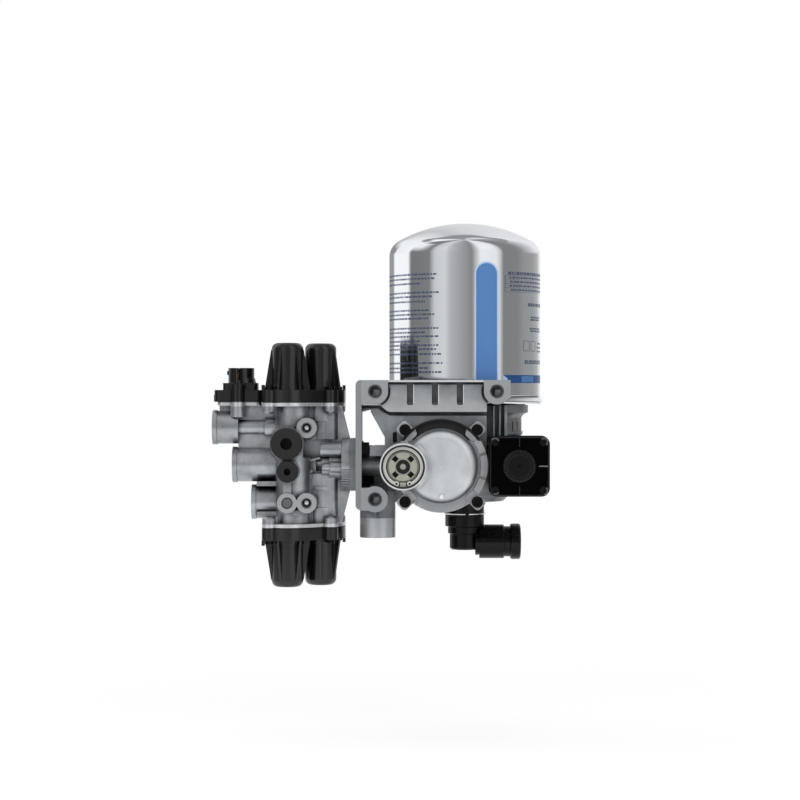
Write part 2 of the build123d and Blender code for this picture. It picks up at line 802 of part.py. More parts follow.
# Valve cage pressed into the port: a moulded plate with four windows and a guide for the stem
with BuildPart() as port_valve_cage:
    with BuildSketch(front(port_flange_seat)):
        with Locations((port_x, axis_z)):
            Circle(port_bore_r - 0.1)
    extrude(amount=port_flange_seat - ring_back)
    with BuildSketch(front(port_seat - 0.2)):
        with Locations((port_x, axis_z)):
            Circle(port_cage_r)
    extrude(amount=port_seat - 0.2 - port_flange_seat)
    with BuildSketch(front(ring_back)):
        with Locations((port_x, axis_z)):
            Circle(port_cage_r - 0.2)
            Circle(cage_plate_r, mode=Mode.SUBTRACT)
    extrude(amount=-2.2, mode=Mode.SUBTRACT)
    with BuildSketch(front(ring_back)):
        with Locations((port_x, axis_z - port_bore_r + 1.9)):
            Rectangle(5.0, 3.4)
    extrude(amount=1.6)
    with BuildSketch(front(port_seat)):
        with Locations((port_x, axis_z)):
            Circle(port_cage_r - 3.4)
    extrude(amount=port_seat - port_flange_seat - 3.0, mode=Mode.SUBTRACT)
    with BuildSketch(front(ring_back)):
        with Locations((port_x, axis_z)):
            with PolarLocations(cage_window_r, 4, start_angle=45):
                Rectangle(4.4, 4.6)
            Circle(bush_r)
    extrude(amount=ring_back - port_seat, mode=Mode.SUBTRACT)
port_valve_cage.part.label = "port_valve_cage"
export_step(port_valve_cage.part, "parts/port_valve_cage.step")

# Rubber bush that seals the stem in the cage
with BuildPart() as port_valve_bush:
    with BuildSketch(front(port_flange_seat + 2.0)):
        with Locations((port_x, axis_z)):
            Circle(bush_r - 0.05)
            Circle(stem_r + 0.05, mode=Mode.SUBTRACT)
    extrude(amount=port_flange_seat + 2.0 - ring_back + 1.0)
port_valve_bush.part.label = "port_valve_bush"
export_step(port_valve_bush.part, "parts/port_valve_bush.step")

# Valve stem with its disc on the seat
with BuildPart() as port_valve_stem:
    with BuildSketch(front(port_seat)):
        with Locations((port_x, axis_z)):
            Circle(port_throat_r + 2)
    extrude(amount=2.0)
    with BuildSketch(front(port_seat)):
        with Locations((port_x, axis_z)):
            Circle(stem_r)
    extrude(amount=port_seat - ring_back + 0.8)
    fillet(port_valve_stem.edges().filter_by(GeomType.CIRCLE).sort_by(Axis.Y)[0], radius=0.8)
port_valve_stem.part.label = "port_valve_stem"
export_step(port_valve_stem.part, "parts/port_valve_stem.step")

# Valve spring between the cage and the disc
port_spring_plane = Plane((port_x, port_flange_seat + 3.0, axis_z), x_dir=(1, 0, 0), z_dir=(0, 1, 0))
port_valve_spring = spring_along(port_spring_plane, port_seat - 5.0 - port_flange_seat, 8.2, 0.6, 3)
port_valve_spring.part.label = "port_valve_spring"
export_step(port_valve_spring.part, "parts/port_valve_spring.step")

# Governor cover: a square black moulding with a raised rim, ribs and four screws
with BuildPart() as governor_cover:
    with BuildSketch(front(gov_back)):
        with Locations((gov_x, axis_z)):
            RectangleRounded(gov_side, gov_side, gov_corner_r)
    extrude(amount=gov_back - gov_front)
    fillet(governor_cover.edges().group_by(Axis.Y)[0], radius=1.5)
    with BuildSketch(front(gov_front)):
        with Locations((gov_x, axis_z)):
            RectangleRounded(gov_side - 5.6, gov_side - 5.6, gov_corner_r - 2.8)
            Rectangle(1.8, gov_side, mode=Mode.SUBTRACT)
            with Locations((gov_side / 2, 0)):
                Rectangle(gov_side, 1.8, mode=Mode.SUBTRACT)
            Circle(knob_r + 1.8, mode=Mode.SUBTRACT)
            with GridLocations(2 * gov_screw_offset, 2 * gov_screw_offset, 2, 2):
                Circle(4.6, mode=Mode.SUBTRACT)
    extrude(amount=-4.0, mode=Mode.SUBTRACT)
    with Locations(front(gov_front) * Location((gov_x, axis_z))):
        CounterBoreHole(knob_stem_r + 0.2, knob_r + 0.6, 2.4, depth=gov_back - gov_front)
        with GridLocations(2 * gov_screw_offset, 2 * gov_screw_offset, 2, 2):
            CounterBoreHole(2.3, 3.6, 2.0, depth=gov_back - gov_front)
governor_cover.part.label = "governor_cover"
export_step(governor_cover.part, "parts/governor_cover.step")

# Thin gasket under the governor cover
with BuildPart() as governor_gasket:
    with BuildSketch(front(gov_seat)):
        with Locations((gov_x, axis_z)):
            RectangleRounded(gov_side - 3, gov_side - 3, gov_corner_r - 1)
            Circle(gov_bore_r, mode=Mode.SUBTRACT)
            with GridLocations(2 * gov_screw_offset, 2 * gov_screw_offset, 2, 2):
                Circle(2.3, mode=Mode.SUBTRACT)
    extrude(amount=gov_sheet)
governor_gasket.part.label = "governor_gasket"
export_step(governor_gasket.part, "parts/governor_gasket.step")

# Adjusting knob with many flats, whose stem presses on the governor spring
with BuildPart() as governor_knob:
    with BuildSketch(front(gov_front + 2.4)):
        with Locations((gov_x, axis_z)):
            RegularPolygon(knob_r, 16)
    extrude(amount=2.4 + knob_proud)
    chamfer(governor_knob.faces().sort_by(Axis.Y)[0].edges(), length=0.8)
    with BuildSketch(front(gov_seat + 1.2)):
        with Locations((gov_x, axis_z)):
            Circle(knob_stem_r)
    extrude(amount=gov_seat + 1.2 - gov_front - 2.4)
    with Locations(front(gov_front - knob_proud) * Location((gov_x, axis_z))):
        Hole(1.1, depth=2.0)
governor_knob.part.label = "governor_knob"
export_step(governor_knob.part, "parts/governor_knob.step")

# Four screws of the governor cover
with BuildPart() as governor_screws:
    with BuildSketch(front(gov_front + 2.0)):
        with Locations((gov_x, axis_z)):
            with GridLocations(2 * gov_screw_offset, 2 * gov_screw_offset, 2, 2):
                Circle(3.5)
    extrude(amount=1.8)
    with BuildSketch(front(gov_front + 0.2)):
        with Locations((gov_x, axis_z)):
            with GridLocations(2 * gov_screw_offset, 2 * gov_screw_offset, 2, 2):
                RegularPolygon(1.7, 6)
    extrude(amount=-1.2, mode=Mode.SUBTRACT)
    with BuildSketch(front(gov_front + 2.0)):
        with Locations((gov_x, axis_z)):
            with GridLocations(2 * gov_screw_offset, 2 * gov_screw_offset, 2, 2):
                Circle(2.0)
    extrude(amount=-(gov_seat - gov_front + 5.5))
governor_screws.part.label = "governor_screws"
export_step(governor_screws.part, "parts/governor_screws.step")

# Governor piston at the end of its bore, and the spring between it and the knob's stem
with BuildPart() as governor_piston:
    with BuildSketch(front(gov_seat + gov_bore_depth)):
        with Locations((gov_x, axis_z)):
            Circle(gov_bore_r - 0.05)
    extrude(amount=gov_piston_length)
    with BuildSketch(front(gov_seat + gov_bore_depth - gov_piston_length)):
        with Locations((gov_x, axis_z)):
            Circle(6.0)
    extrude(amount=4.0)
governor_piston.part.label = "governor_piston"
export_step(governor_piston.part, "parts/governor_piston.step")

gov_spring_plane = Plane((gov_x, gov_seat + 1.2, axis_z), x_dir=(1, 0, 0), z_dir=(0, 1, 0))
governor_spring = spring_along(gov_spring_plane, gov_bore_depth - gov_piston_length - 1.2, 9.4, 1.2, 5)
governor_spring.part.label = "governor_spring"
export_step(governor_spring.part, "parts/governor_spring.step")

# Drain socket: a black moulding that plugs into the bottom of the housing
with BuildPart() as drain_socket:
    with BuildSketch(level(socket_low)):
        with Locations((can_x, can_y)):
            Circle(socket_r)
    extrude(amount=tower_body_low - socket_low)
    with BuildSketch(level(tower_body_low)):
        with Locations((can_x, can_y)):
            Circle(drain_bore_r - 0.1)
    extrude(amount=socket_plug)
    with BuildSketch(level(clip_z - 0.9)):
        with Locations((can_x, can_y)):
            Circle(socket_r + 1)
            Circle(socket_r - 0.5, mode=Mode.SUBTRACT)
    extrude(amount=1.8, mode=Mode.SUBTRACT)
    with Locations((can_x, can_y, socket_low)):
        Cylinder(spigot_r + 0.1, 60.0, align=(Align.CENTER, Align.CENTER, Align.MIN), mode=Mode.SUBTRACT)
drain_socket.part.label = "drain_socket"
export_step(drain_socket.part, "parts/drain_socket.step")

# Wire clip round the socket, open at the front right
with BuildPart() as elbow_clip:
    with BuildLine(level(clip_z)) as clip_path:
        CenterArc((can_x, can_y), socket_r + 0.25, -80, 350)
    with BuildSketch(Plane(clip_path.line @ 0, z_dir=clip_path.line % 0)):
        Circle(0.7)
    sweep()
elbow_clip.part.label = "elbow_clip"
export_step(elbow_clip.part, "parts/elbow_clip.step")

# Exhaust elbow: a stepped collar, a round body and a stout side branch
with BuildPart() as exhaust_elbow:
    with BuildSketch(front(can_y)):
        with BuildLine():
            Polyline(
                (can_x, socket_low + spigot_length),
                (can_x + spigot_r, socket_low + spigot_length),
                (can_x + spigot_r, socket_low),
                (can_x + socket_r, socket_low),
                (can_x + socket_r, elbow_collar_low),
                (can_x + elbow_r + 1.6, elbow_collar_low - 1.0),
                (can_x + elbow_r + 1.6, elbow_step_low),
                (can_x + elbow_r, elbow_step_low - 1.0),
                (can_x + elbow_r, elbow_low + 1.5),
                (can_x + elbow_r - 1.5, elbow_low),
                (can_x, elbow_low),
                (can_x, socket_low + spigot_length),
            )
        make_face()
    revolve(axis=Axis((can_x, can_y, 0), (0, 0, 1)))
    with BuildSketch(across(can_x)):
        with Locations((can_y, branch_z)):
            Circle(branch_r - 7.6)
    extrude(amount=branch_start - can_x)
    with BuildSketch(across(branch_start)):
        with Locations((can_y, branch_z)):
            Circle(branch_r)
    extrude(amount=branch_neck - branch_start)
    fillet(exhaust_elbow.edges().filter_by(GeomType.CIRCLE).group_by(Axis.X)[-1], radius=1.0)
    with BuildSketch(across(can_x + elbow_r - 4)):
        with Locations((can_y, branch_z)):
            Circle(branch_r - 3.0)
    extrude(amount=branch_start - can_x - elbow_r + 4)
    with BuildSketch(across(branch_neck)):
        with Locations((can_y, branch_z)):
            Circle(branch_r - 1.6)
    extrude(amount=nut_start - branch_neck)
    with BuildSketch(across(nut_start)):
        with Locations((can_y, branch_z)):
            Circle(elbow_bore_r + 3.2)
    extrude(amount=branch_end - nut_start - 1.5)
    with Locations((can_x, can_y, branch_z)):
        Cylinder(elbow_bore_r, 80.0, align=(Align.CENTER, Align.CENTER, Align.MIN), mode=Mode.SUBTRACT)
    with BuildSketch(across(can_x)):
        with Locations((can_y, branch_z)):
            Circle(elbow_bore_r)
    extrude(amount=branch_end - can_x, mode=Mode.SUBTRACT)
exhaust_elbow.part.label = "exhaust_elbow"
export_step(exhaust_elbow.part, "parts/exhaust_elbow.step")

# Rounded end nut of the branch
with BuildPart() as elbow_nut:
    with BuildSketch(across(nut_start)):
        with Locations((can_y, branch_z)):
            Circle(branch_r + 0.8)
    extrude(amount=branch_end - nut_start)
    fillet(elbow_nut.edges().filter_by(GeomType.CIRCLE), radius=2.2)
    with BuildSketch(across(nut_start)):
        with Locations((can_y, branch_z)):
            Circle(elbow_bore_r + 3.3)
    extrude(amount=branch_end - nut_start, mode=Mode.SUBTRACT)
elbow_nut.part.label = "elbow_nut"
export_step(elbow_nut.part, "parts/elbow_nut.step")

# Drain piston at the top of its bore and the spring under it
with BuildPart() as drain_piston:
    with BuildSketch(level(tower_body_low + drain_bore_depth - 5.0)):
        with Locations((can_x, can_y)):
            Circle(drain_bore_r - 0.05)
    extrude(amount=5.0)
    with BuildSketch(level(tower_body_low + drain_bore_depth - 11.0)):
        with Locations((can_x, can_y)):
            Circle(7.0)
    extrude(amount=6.0)
drain_piston.part.label = "drain_piston"
export_step(drain_piston.part, "parts/drain_piston.step")

drain_spring_plane = Plane((can_x, can_y, tower_body_low + socket_plug))
drain_spring = spring_along(drain_spring_plane, drain_bore_depth - 5.0 - socket_plug, 12.6, 1.1, 3)
drain_spring.part.label = "drain_spring"
export_step(drain_spring.part, "parts/drain_spring.step")
# Protection valve body: one aluminium casting with upright barrels, flanges at both ends, three
# threaded air ports on the left, plugged ports in front and the round joint collar on the right
with BuildPart() as valve_body:
    with BuildSketch(level(body_low)):
        with Locations((body_left + 16.1, left_cap_y + 2)):
            Circle(16.1)
        with Locations((body_right - 15.5, right_cap_y - 3)):
            Circle(15.5)
        with Locations(((body_left + body_right) / 2, 44.0)):
            RectangleRounded(body_right - body_left, 32.0, 5.0)
    extrude(amount=body_top - body_low)
    # Steps of the right barrel
    with BuildSketch(level(body_top - 13.4), level(body_low)):
        with Locations((body_right - 15.5, right_cap_y - 3)):
            Circle(16.3)
    extrude(amount=13.4)
    with BuildSketch(level(barrel_ring_low)):
        with Locations((body_right - 15.5, right_cap_y - 3)):
            Circle(16.3)
    extrude(amount=3.4)
    # Recess between the barrels, crossed by the air passage
    with Locations((recess_left, 0, recess_low)):
        Box(body_right + 3 - recess_left, recess_back, recess_top - recess_low,
            align=(Align.MIN, Align.MIN, Align.MIN), mode=Mode.SUBTRACT)
    with Locations((notch_left, 0, notch_low)):
        Box(body_right + 3 - notch_left, notch_back, recess_top - notch_low,
            align=(Align.MIN, Align.MIN, Align.MIN), mode=Mode.SUBTRACT)
    # Flanges for the spring covers, and the screw bosses under them
    with BuildSketch(level(flange_low), level(2 * axis_z - flange_top)):
        flange_outline()
    extrude(amount=flange_thickness)
    for side, z in ((-1, body_top), (1, body_low)):
        with BuildSketch(level(z)):
            with Locations(*screw_places):
                Circle(ear_r - 0.2)
        extrude(amount=side * screw_boss_length)
        with BuildSketch(level(z + side * screw_boss_length)):
            with Locations(*screw_places):
                Circle(ear_r - 0.2)
        extrude(amount=side * 1.6, taper=40)
    # Air ports on the left with their end rims
    for end, z, r in port_rows:
        with BuildSketch(across(end)):
            with Locations((port_y, z)):
                Circle(r)
        extrude(amount=(upper_port_length if z > axis_z else body_left - end) + 4.0)
        with BuildSketch(across(end)):
            with Locations((port_y, z)):
                Circle(r + 0.7)
        extrude(amount=4.2)
    with BuildSketch(across(upper_port_end + upper_port_length)):
        with Locations((port_y, axis_z + port_pitch)):
            Circle(7.2)
    extrude(amount=body_left - upper_port_end - upper_port_length + 6)
    with BuildSketch(across(body_left - 9.0)):
        with Locations((port_y - 4, axis_z + port_pitch)):
            Circle(8.9)
    extrude(amount=14.0)
    # Flat webs behind the ports
    with BuildSketch(front(port_y + 3.0)):
        with BuildLine():
            Polyline(
                (upper_port_end + 6, axis_z + port_pitch),
                (upper_port_end + 6, plate_low - 2),
                (body_left + 4, plate_low - 2),
                (body_left + 4, axis_z - port_pitch),
                (lower_port_end + 5, axis_z - port_pitch),
                (lower_port_end + 5, axis_z),
                (middle_port_end + 5, axis_z),
                (middle_port_end + 5, axis_z + port_pitch),
                close=True,
            )
        make_face()
    extrude(amount=6.0)
    # Pad and screw post of the pressure sensor
    with BuildSketch(level(plate_low - 3.2)):
        with Locations(((sensor_left + sensor_right) / 2 + 0.6, sensor_y - 2)):
            RectangleRounded(sensor_right - sensor_left - 4, 24.0, 5.0)
    extrude(amount=3.2)
    with BuildSketch(level(plate_low - 13.5)):
        with Locations((sleeve_x, sleeve_y)):
            Circle(sleeve_r)
    extrude(amount=13.5)
    # Gussets towards the joint collar
    with BuildSketch(front(joint_y + 3.5)):
        for side in (1, -1):
            with BuildLine():
                Polyline(
                    (body_right - 6, axis_z + side * (body_top - axis_z + 0.5)),
                    (body_right + 3.6, axis_z + side * (body_top - axis_z + 0.5)),
                    (joint_x, axis_z + side * joint_r),
                    (joint_x - collar_width + 1, axis_z + side * neck_r),
                    (body_right - 6, axis_z + side * neck_r),
                    close=True,
                )
            make_face()
    extrude(amount=7.0)
    # Air passage, serrated joint collar and the two stud bosses
    with BuildSketch(across(body_right - 14)):
        with Locations((joint_y, axis_z)):
            Circle(12.0)
    extrude(amount=joint_x - body_right + 14)
    with BuildSketch(across(joint_x - collar_width)):
        with Locations((joint_y, axis_z)):
            Circle(joint_r)
            with PolarLocations(joint_r, collar_grooves, start_angle=190, angular_range=160):
                Rectangle(1.8, 1.0, mode=Mode.SUBTRACT)
    extrude(amount=collar_width)
    with BuildSketch(across(body_right - 7.6)):
        with Locations((joint_y, axis_z)):
            Circle(neck_r + 0.8)
    extrude(amount=joint_x - collar_width - body_right + 8.6)
    with BuildSketch(across(body_right - 15.3)):
        with Locations(*stud_places):
            Circle(stud_r + 2.2)
    extrude(amount=joint_x - collar_width - body_right + 15.3)
    # Small plugged channel under the stud boss
    with BuildSketch(across(body_right - 13.2)):
        with Locations((joint_y - 16, axis_z - 2)):
            Circle(3.4)
    extrude(amount=12.0)
    with BuildSketch(across(body_right - 6.6)):
        with Locations((joint_y - 15, axis_z - 2)):
            Circle(5.0)
    extrude(amount=joint_x - collar_width - body_right + 6.6)
    # Bosses on the front: two ball plugs, a blind plug and the two closed ports
    with BuildSketch(front(26.0)):
        with Locations(*ball_places, blind_place):
            Circle(front_boss_r)
    extrude(amount=26.0)
    with BuildSketch(front(24.0)):
        with Locations((big_plug_x, big_plug_z)):
            Circle(big_plug_r + 0.9)
    extrude(amount=24.0 - big_plug_seat)
    with BuildSketch(front(24.0)):
        with Locations((small_plug_x, small_plug_z)):
            Circle(small_plug_r + 0.8)
    extrude(amount=24.0 - small_plug_seat)
    with BuildSketch(front(20.0)):
        with Locations((small_plug_x - 0.5, small_plug_z - 15)):
            RectangleRounded(7.0, 12.0, 2.0)
    extrude(amount=18.0)
    # Thin ribs in the recess and between the lower bosses
    with BuildSketch(front(36.0)):
        with Locations((steep_rib_x, steep_rib_z)):
            Rectangle(13.0, 2.6, rotation=-51)
        with Locations((long_rib_x, long_rib_z)):
            Rectangle(18.0, 1.6, rotation=14)
    extrude(amount=14.0)
    with BuildSketch(front(20.0)):
        with Locations((boss_rib_x, boss_rib_z)):
            Ellipse(6.0, 2.4)
    extrude(amount=16.0)
    # Ribs behind the middle and lower ports
    with Locations((lower_port_end + 5, 20.0, port_rib_top), (lower_port_end + 5, 20.0, port_rib_low)):
        Box(body_left - lower_port_end - 1, 16.0, 4.2, align=(Align.MIN, Align.MIN, Align.MAX))
    # Bores
    for end, z, r in port_rows:
        with BuildSketch(across(end)):
            with Locations((port_y, z)):
                Circle(valve_bore_r)
        extrude(amount=valve_bore_depth, mode=Mode.SUBTRACT)
        with BuildSketch(across(end)):
            with Locations((port_y, z)):
                Circle(4.5)
        extrude(amount=valve_bore_depth + 14, mode=Mode.SUBTRACT)
    with Locations(front(0) * Location((ball_boss_x, axis_z + front_boss_offset)),
                   front(0) * Location((ball_boss_x, axis_z - front_boss_offset))):
        CounterBoreHole(ball_r, front_hole_r, 3.0, depth=12.0)
    with Locations(front(0) * Location((blind_boss_x, axis_z - front_boss_offset))):
        Hole(blind_hole_r, depth=7.0)
    with Locations(front(big_plug_seat) * Location((big_plug_x, big_plug_z))):
        Hole(big_shank_r, depth=10.0)
    with Locations(front(small_plug_seat) * Location((small_plug_x, small_plug_z))):
        Hole(small_shank_r, depth=9.0)
    with BuildSketch(across(joint_x)):
        with Locations((joint_y, axis_z)):
            Circle(passage_r)
    extrude(amount=-30.0, mode=Mode.SUBTRACT)
    with BuildSketch(across(joint_x)):
        with Locations(*stud_places):
            Circle(stud_r + 0.02)
    extrude(amount=-22.0, mode=Mode.SUBTRACT)
    for side, z in ((-1, flange_top), (1, 2 * axis_z - flange_top)):
        with BuildSketch(level(z)):
            with Locations(*cap_places):
                Circle(piston_stem_r + 0.15)
        extrude(amount=side * 13.0, mode=Mode.SUBTRACT)
        with BuildSketch(level(z)):
            with Locations(*screw_places):
                Circle(cap_screw_r + 0.02)
        extrude(amount=side * (flange_thickness + screw_boss_length), mode=Mode.SUBTRACT)
    with Locations(level(plate_low) * Location((sleeve_x, sleeve_y))):
        Hole(cap_screw_r + 0.02, depth=11.0)
    with Locations(level(plate_low) * Location((sensor_x, sensor_y))):
        Hole(sensor_nose_r + 0.1, depth=7.0)
valve_body.part.label = "valve_body"
export_step(valve_body.part, "parts/valve_body.step")

# Upper spring cover: one black moulding with a plate and two ribbed barrels
with BuildPart() as upper_spring_cover:
    with BuildSketch(level(plate_low)):
        flange_outline()
    extrude(amount=plate_top - plate_low)
    with BuildSketch(level(plate_top)):
        with Locations(*cap_places):
            Circle(cap_r)
    extrude(amount=cap_height)
    fillet(upper_spring_cover.edges().filter_by(GeomType.CIRCLE).group_by(Axis.Z)[-1], radius=cap_round)
    with BuildSketch(level(plate_top)):
        with Locations(*cap_places):
            Circle(cap_r + 1.0)
    extrude(amount=cap_base_height)
    for (x, y), first in zip(cap_places, (left_fin_start, right_fin_start)):
        fin_planes = [
            Plane((x, y, plate_top), x_dir=(cos(turn), sin(turn), 0), z_dir=(sin(turn), -cos(turn), 0))
            for turn in (radians(first + 360 / cap_fins * n) for n in range(cap_fins))
        ]
        with BuildSketch(*fin_planes):
            with BuildLine():
                Polyline(
                    (cap_fin_root_r, cap_height - cap_round),
                    (cap_fin_root_r, -1.0),
                    (cap_fin_foot_r, -1.0),
                    (cap_fin_foot_r, 1.0),
                    (cap_r + 0.6, cap_height - cap_round - 1.0),
                    (cap_r - 0.2, cap_height - cap_round),
                    close=True,
                )
            make_face()
        extrude(amount=cap_fin_width / 2, both=True)
    for side, (x, y) in ((-1, screw_places[0]), (1, screw_places[2])):
        with Locations((x + side * (ear_r - 1.3), y, plate_top)):
            Box(2.6, 8.0, 4.4, align=(Align.CENTER, Align.CENTER, Align.MIN))
    with BuildSketch(level(plate_low)):
        with Locations(*cap_places):
            Circle(piston_r + 0.5)
    extrude(amount=piston_thickness + 4.0, mode=Mode.SUBTRACT)
    with BuildSketch(level(plate_low)):
        with Locations(*cap_places):
            Circle(cap_bore_r)
    extrude(amount=cap_ceiling - plate_low, mode=Mode.SUBTRACT)
    with BuildSketch(level(plate_low)):
        with Locations(*screw_places):
            Circle(cap_screw_r + 0.3)
    extrude(amount=plate_top - plate_low, mode=Mode.SUBTRACT)
    with BuildSketch(level(plate_top)):
        with Locations(*screw_places):
            Circle(cap_head_r + 0.6)
    extrude(amount=20.0, mode=Mode.SUBTRACT)
upper_spring_cover.part.label = "upper_spring_cover"
export_step(upper_spring_cover.part, "parts/upper_spring_cover.step")

# The lower spring cover is the same moulding, fitted the other way up
with BuildPart() as lower_spring_cover:
    mirror(upper_spring_cover.part, about=level(axis_z))
lower_spring_cover.part.label = "lower_spring_cover"
export_step(lower_spring_cover.part, "parts/lower_spring_cover.step")

# Rubber membranes between the valve's flanges and its spring covers
with BuildPart() as upper_membrane:
    with BuildSketch(level(flange_top)):
        flange_outline(0.4)
        with Locations(*cap_places):
            Circle(piston_r + 0.4, mode=Mode.SUBTRACT)
        with Locations(*screw_places):
            Circle(cap_screw_r + 0.3, mode=Mode.SUBTRACT)
    extrude(amount=membrane)
upper_membrane.part.label = "upper_membrane"
export_step(upper_membrane.part, "parts/upper_membrane.step")

with BuildPart() as lower_membrane:
    mirror(upper_membrane.part, about=level(axis_z))
lower_membrane.part.label = "lower_membrane"
export_step(lower_membrane.part, "parts/lower_membrane.step")

# Screws of the spring covers
with BuildPart() as upper_cover_screws:
    with BuildSketch(level(plate_top)):
        with Locations(*screw_places):
            Circle(cap_head_r)
    extrude(amount=cap_head_height)
    with BuildSketch(level(plate_top + cap_head_height)):
        with Locations(*screw_places):
            RegularPolygon(2.0, 6)
    extrude(amount=-1.8, mode=Mode.SUBTRACT)
    with BuildSketch(level(plate_top)):
        with Locations(*screw_places):
            Circle(cap_screw_r)
    extrude(amount=flange_low - screw_boss_length + 0.6 - plate_top)
upper_cover_screws.part.label = "upper_cover_screws"
export_step(upper_cover_screws.part, "parts/upper_cover_screws.step")

with BuildPart() as lower_cover_screws:
    mirror(upper_cover_screws.part, about=level(axis_z))
lower_cover_screws.part.label = "lower_cover_screws"
export_step(lower_cover_screws.part, "parts/lower_cover_screws.step")

# One piston and one spring for each of the four circuits
for side, (x, y) in zip(("left", "right"), cap_places):
    with BuildPart() as upper_piston:
        with BuildSketch(level(flange_top)):
            with Locations((x, y)):
                Circle(piston_r)
        extrude(amount=piston_thickness)
        with BuildSketch(level(flange_top - 12.0)):
            with Locations((x, y)):
                Circle(piston_stem_r)
        extrude(amount=12.0 + piston_thickness + 3.0)
    upper_piston.part.label = f"upper_{side}_piston"
    export_step(upper_piston.part, f"parts/upper_{side}_piston.step")
    with BuildPart() as lower_piston:
        mirror(upper_piston.part, about=level(axis_z))
    lower_piston.part.label = f"lower_{side}_piston"
    export_step(lower_piston.part, f"parts/lower_{side}_piston.step")
    spring_low = flange_top + piston_thickness
    upper_spring = spring_along(Plane((x, y, spring_low)), cap_ceiling - spring_low, 8.4, 1.3, 5)
    upper_spring.part.label = f"upper_{side}_spring"
    export_step(upper_spring.part, f"parts/upper_{side}_spring.step")
    with BuildPart() as lower_spring:
        mirror(upper_spring.part, about=level(axis_z))
    lower_spring.part.label = f"lower_{side}_spring"
    export_step(lower_spring.part, f"parts/lower_{side}_spring.step")

# Rubber plugs of the two closed ports, each with a hollow in its face
with BuildPart() as large_port_plug:
    with BuildSketch(front(big_plug_seat)):
        with Locations((big_plug_x, big_plug_z)):
            Circle(big_plug_r)
    extrude(amount=big_plug_seat - plug_front)
    fillet(large_port_plug.edges().filter_by(GeomType.CIRCLE).sort_by(Axis.Y)[0], radius=1.6)
    with BuildSketch(front(big_plug_seat)):
        with Locations((big_plug_x, big_plug_z)):
            Circle(big_shank_r - 0.02)
    extrude(amount=-8.0)
    with Locations(front(plug_front) * Location((big_plug_x, big_plug_z))):
        Hole(5.2, depth=11.0)
large_port_plug.part.label = "large_port_plug"
export_step(large_port_plug.part, "parts/large_port_plug.step")

with BuildPart() as small_port_plug:
    with BuildSketch(front(small_plug_seat)):
        with Locations((small_plug_x, small_plug_z)):
            Circle(small_plug_r)
    extrude(amount=small_plug_seat - plug_front)
    fillet(small_port_plug.edges().filter_by(GeomType.CIRCLE).sort_by(Axis.Y)[0], radius=1.4)
    with BuildSketch(front(small_plug_seat)):
        with Locations((small_plug_x, small_plug_z)):
            Circle(small_shank_r - 0.02)
    extrude(amount=-7.0)
    with Locations(front(plug_front) * Location((small_plug_x, small_plug_z))):
        Hole(3.1, depth=9.0)
small_port_plug.part.label = "small_port_plug"
export_step(small_port_plug.part, "parts/small_port_plug.step")

# Steel balls pressed into two drilled channels, and the blind plug of a third
with BuildPart() as channel_balls:
    with Locations((ball_boss_x, 3.0 + ball_r, axis_z + front_boss_offset),
                   (ball_boss_x, 3.0 + ball_r, axis_z - front_boss_offset)):
        Sphere(ball_r - 0.01)
channel_balls.part.label = "channel_balls"
export_step(channel_balls.part, "parts/channel_balls.step")

with BuildPart() as blind_plug:
    with BuildSketch(front(6.0)):
        with Locations(blind_place):
            Circle(blind_hole_r - 0.7)
    extrude(amount=4.2)
    with BuildSketch(front(7.0)):
        with Locations(blind_place):
            Circle(blind_hole_r - 0.02)
    extrude(amount=2.0)
blind_plug.part.label = "blind_plug"
export_step(blind_plug.part, "parts/blind_plug.step")

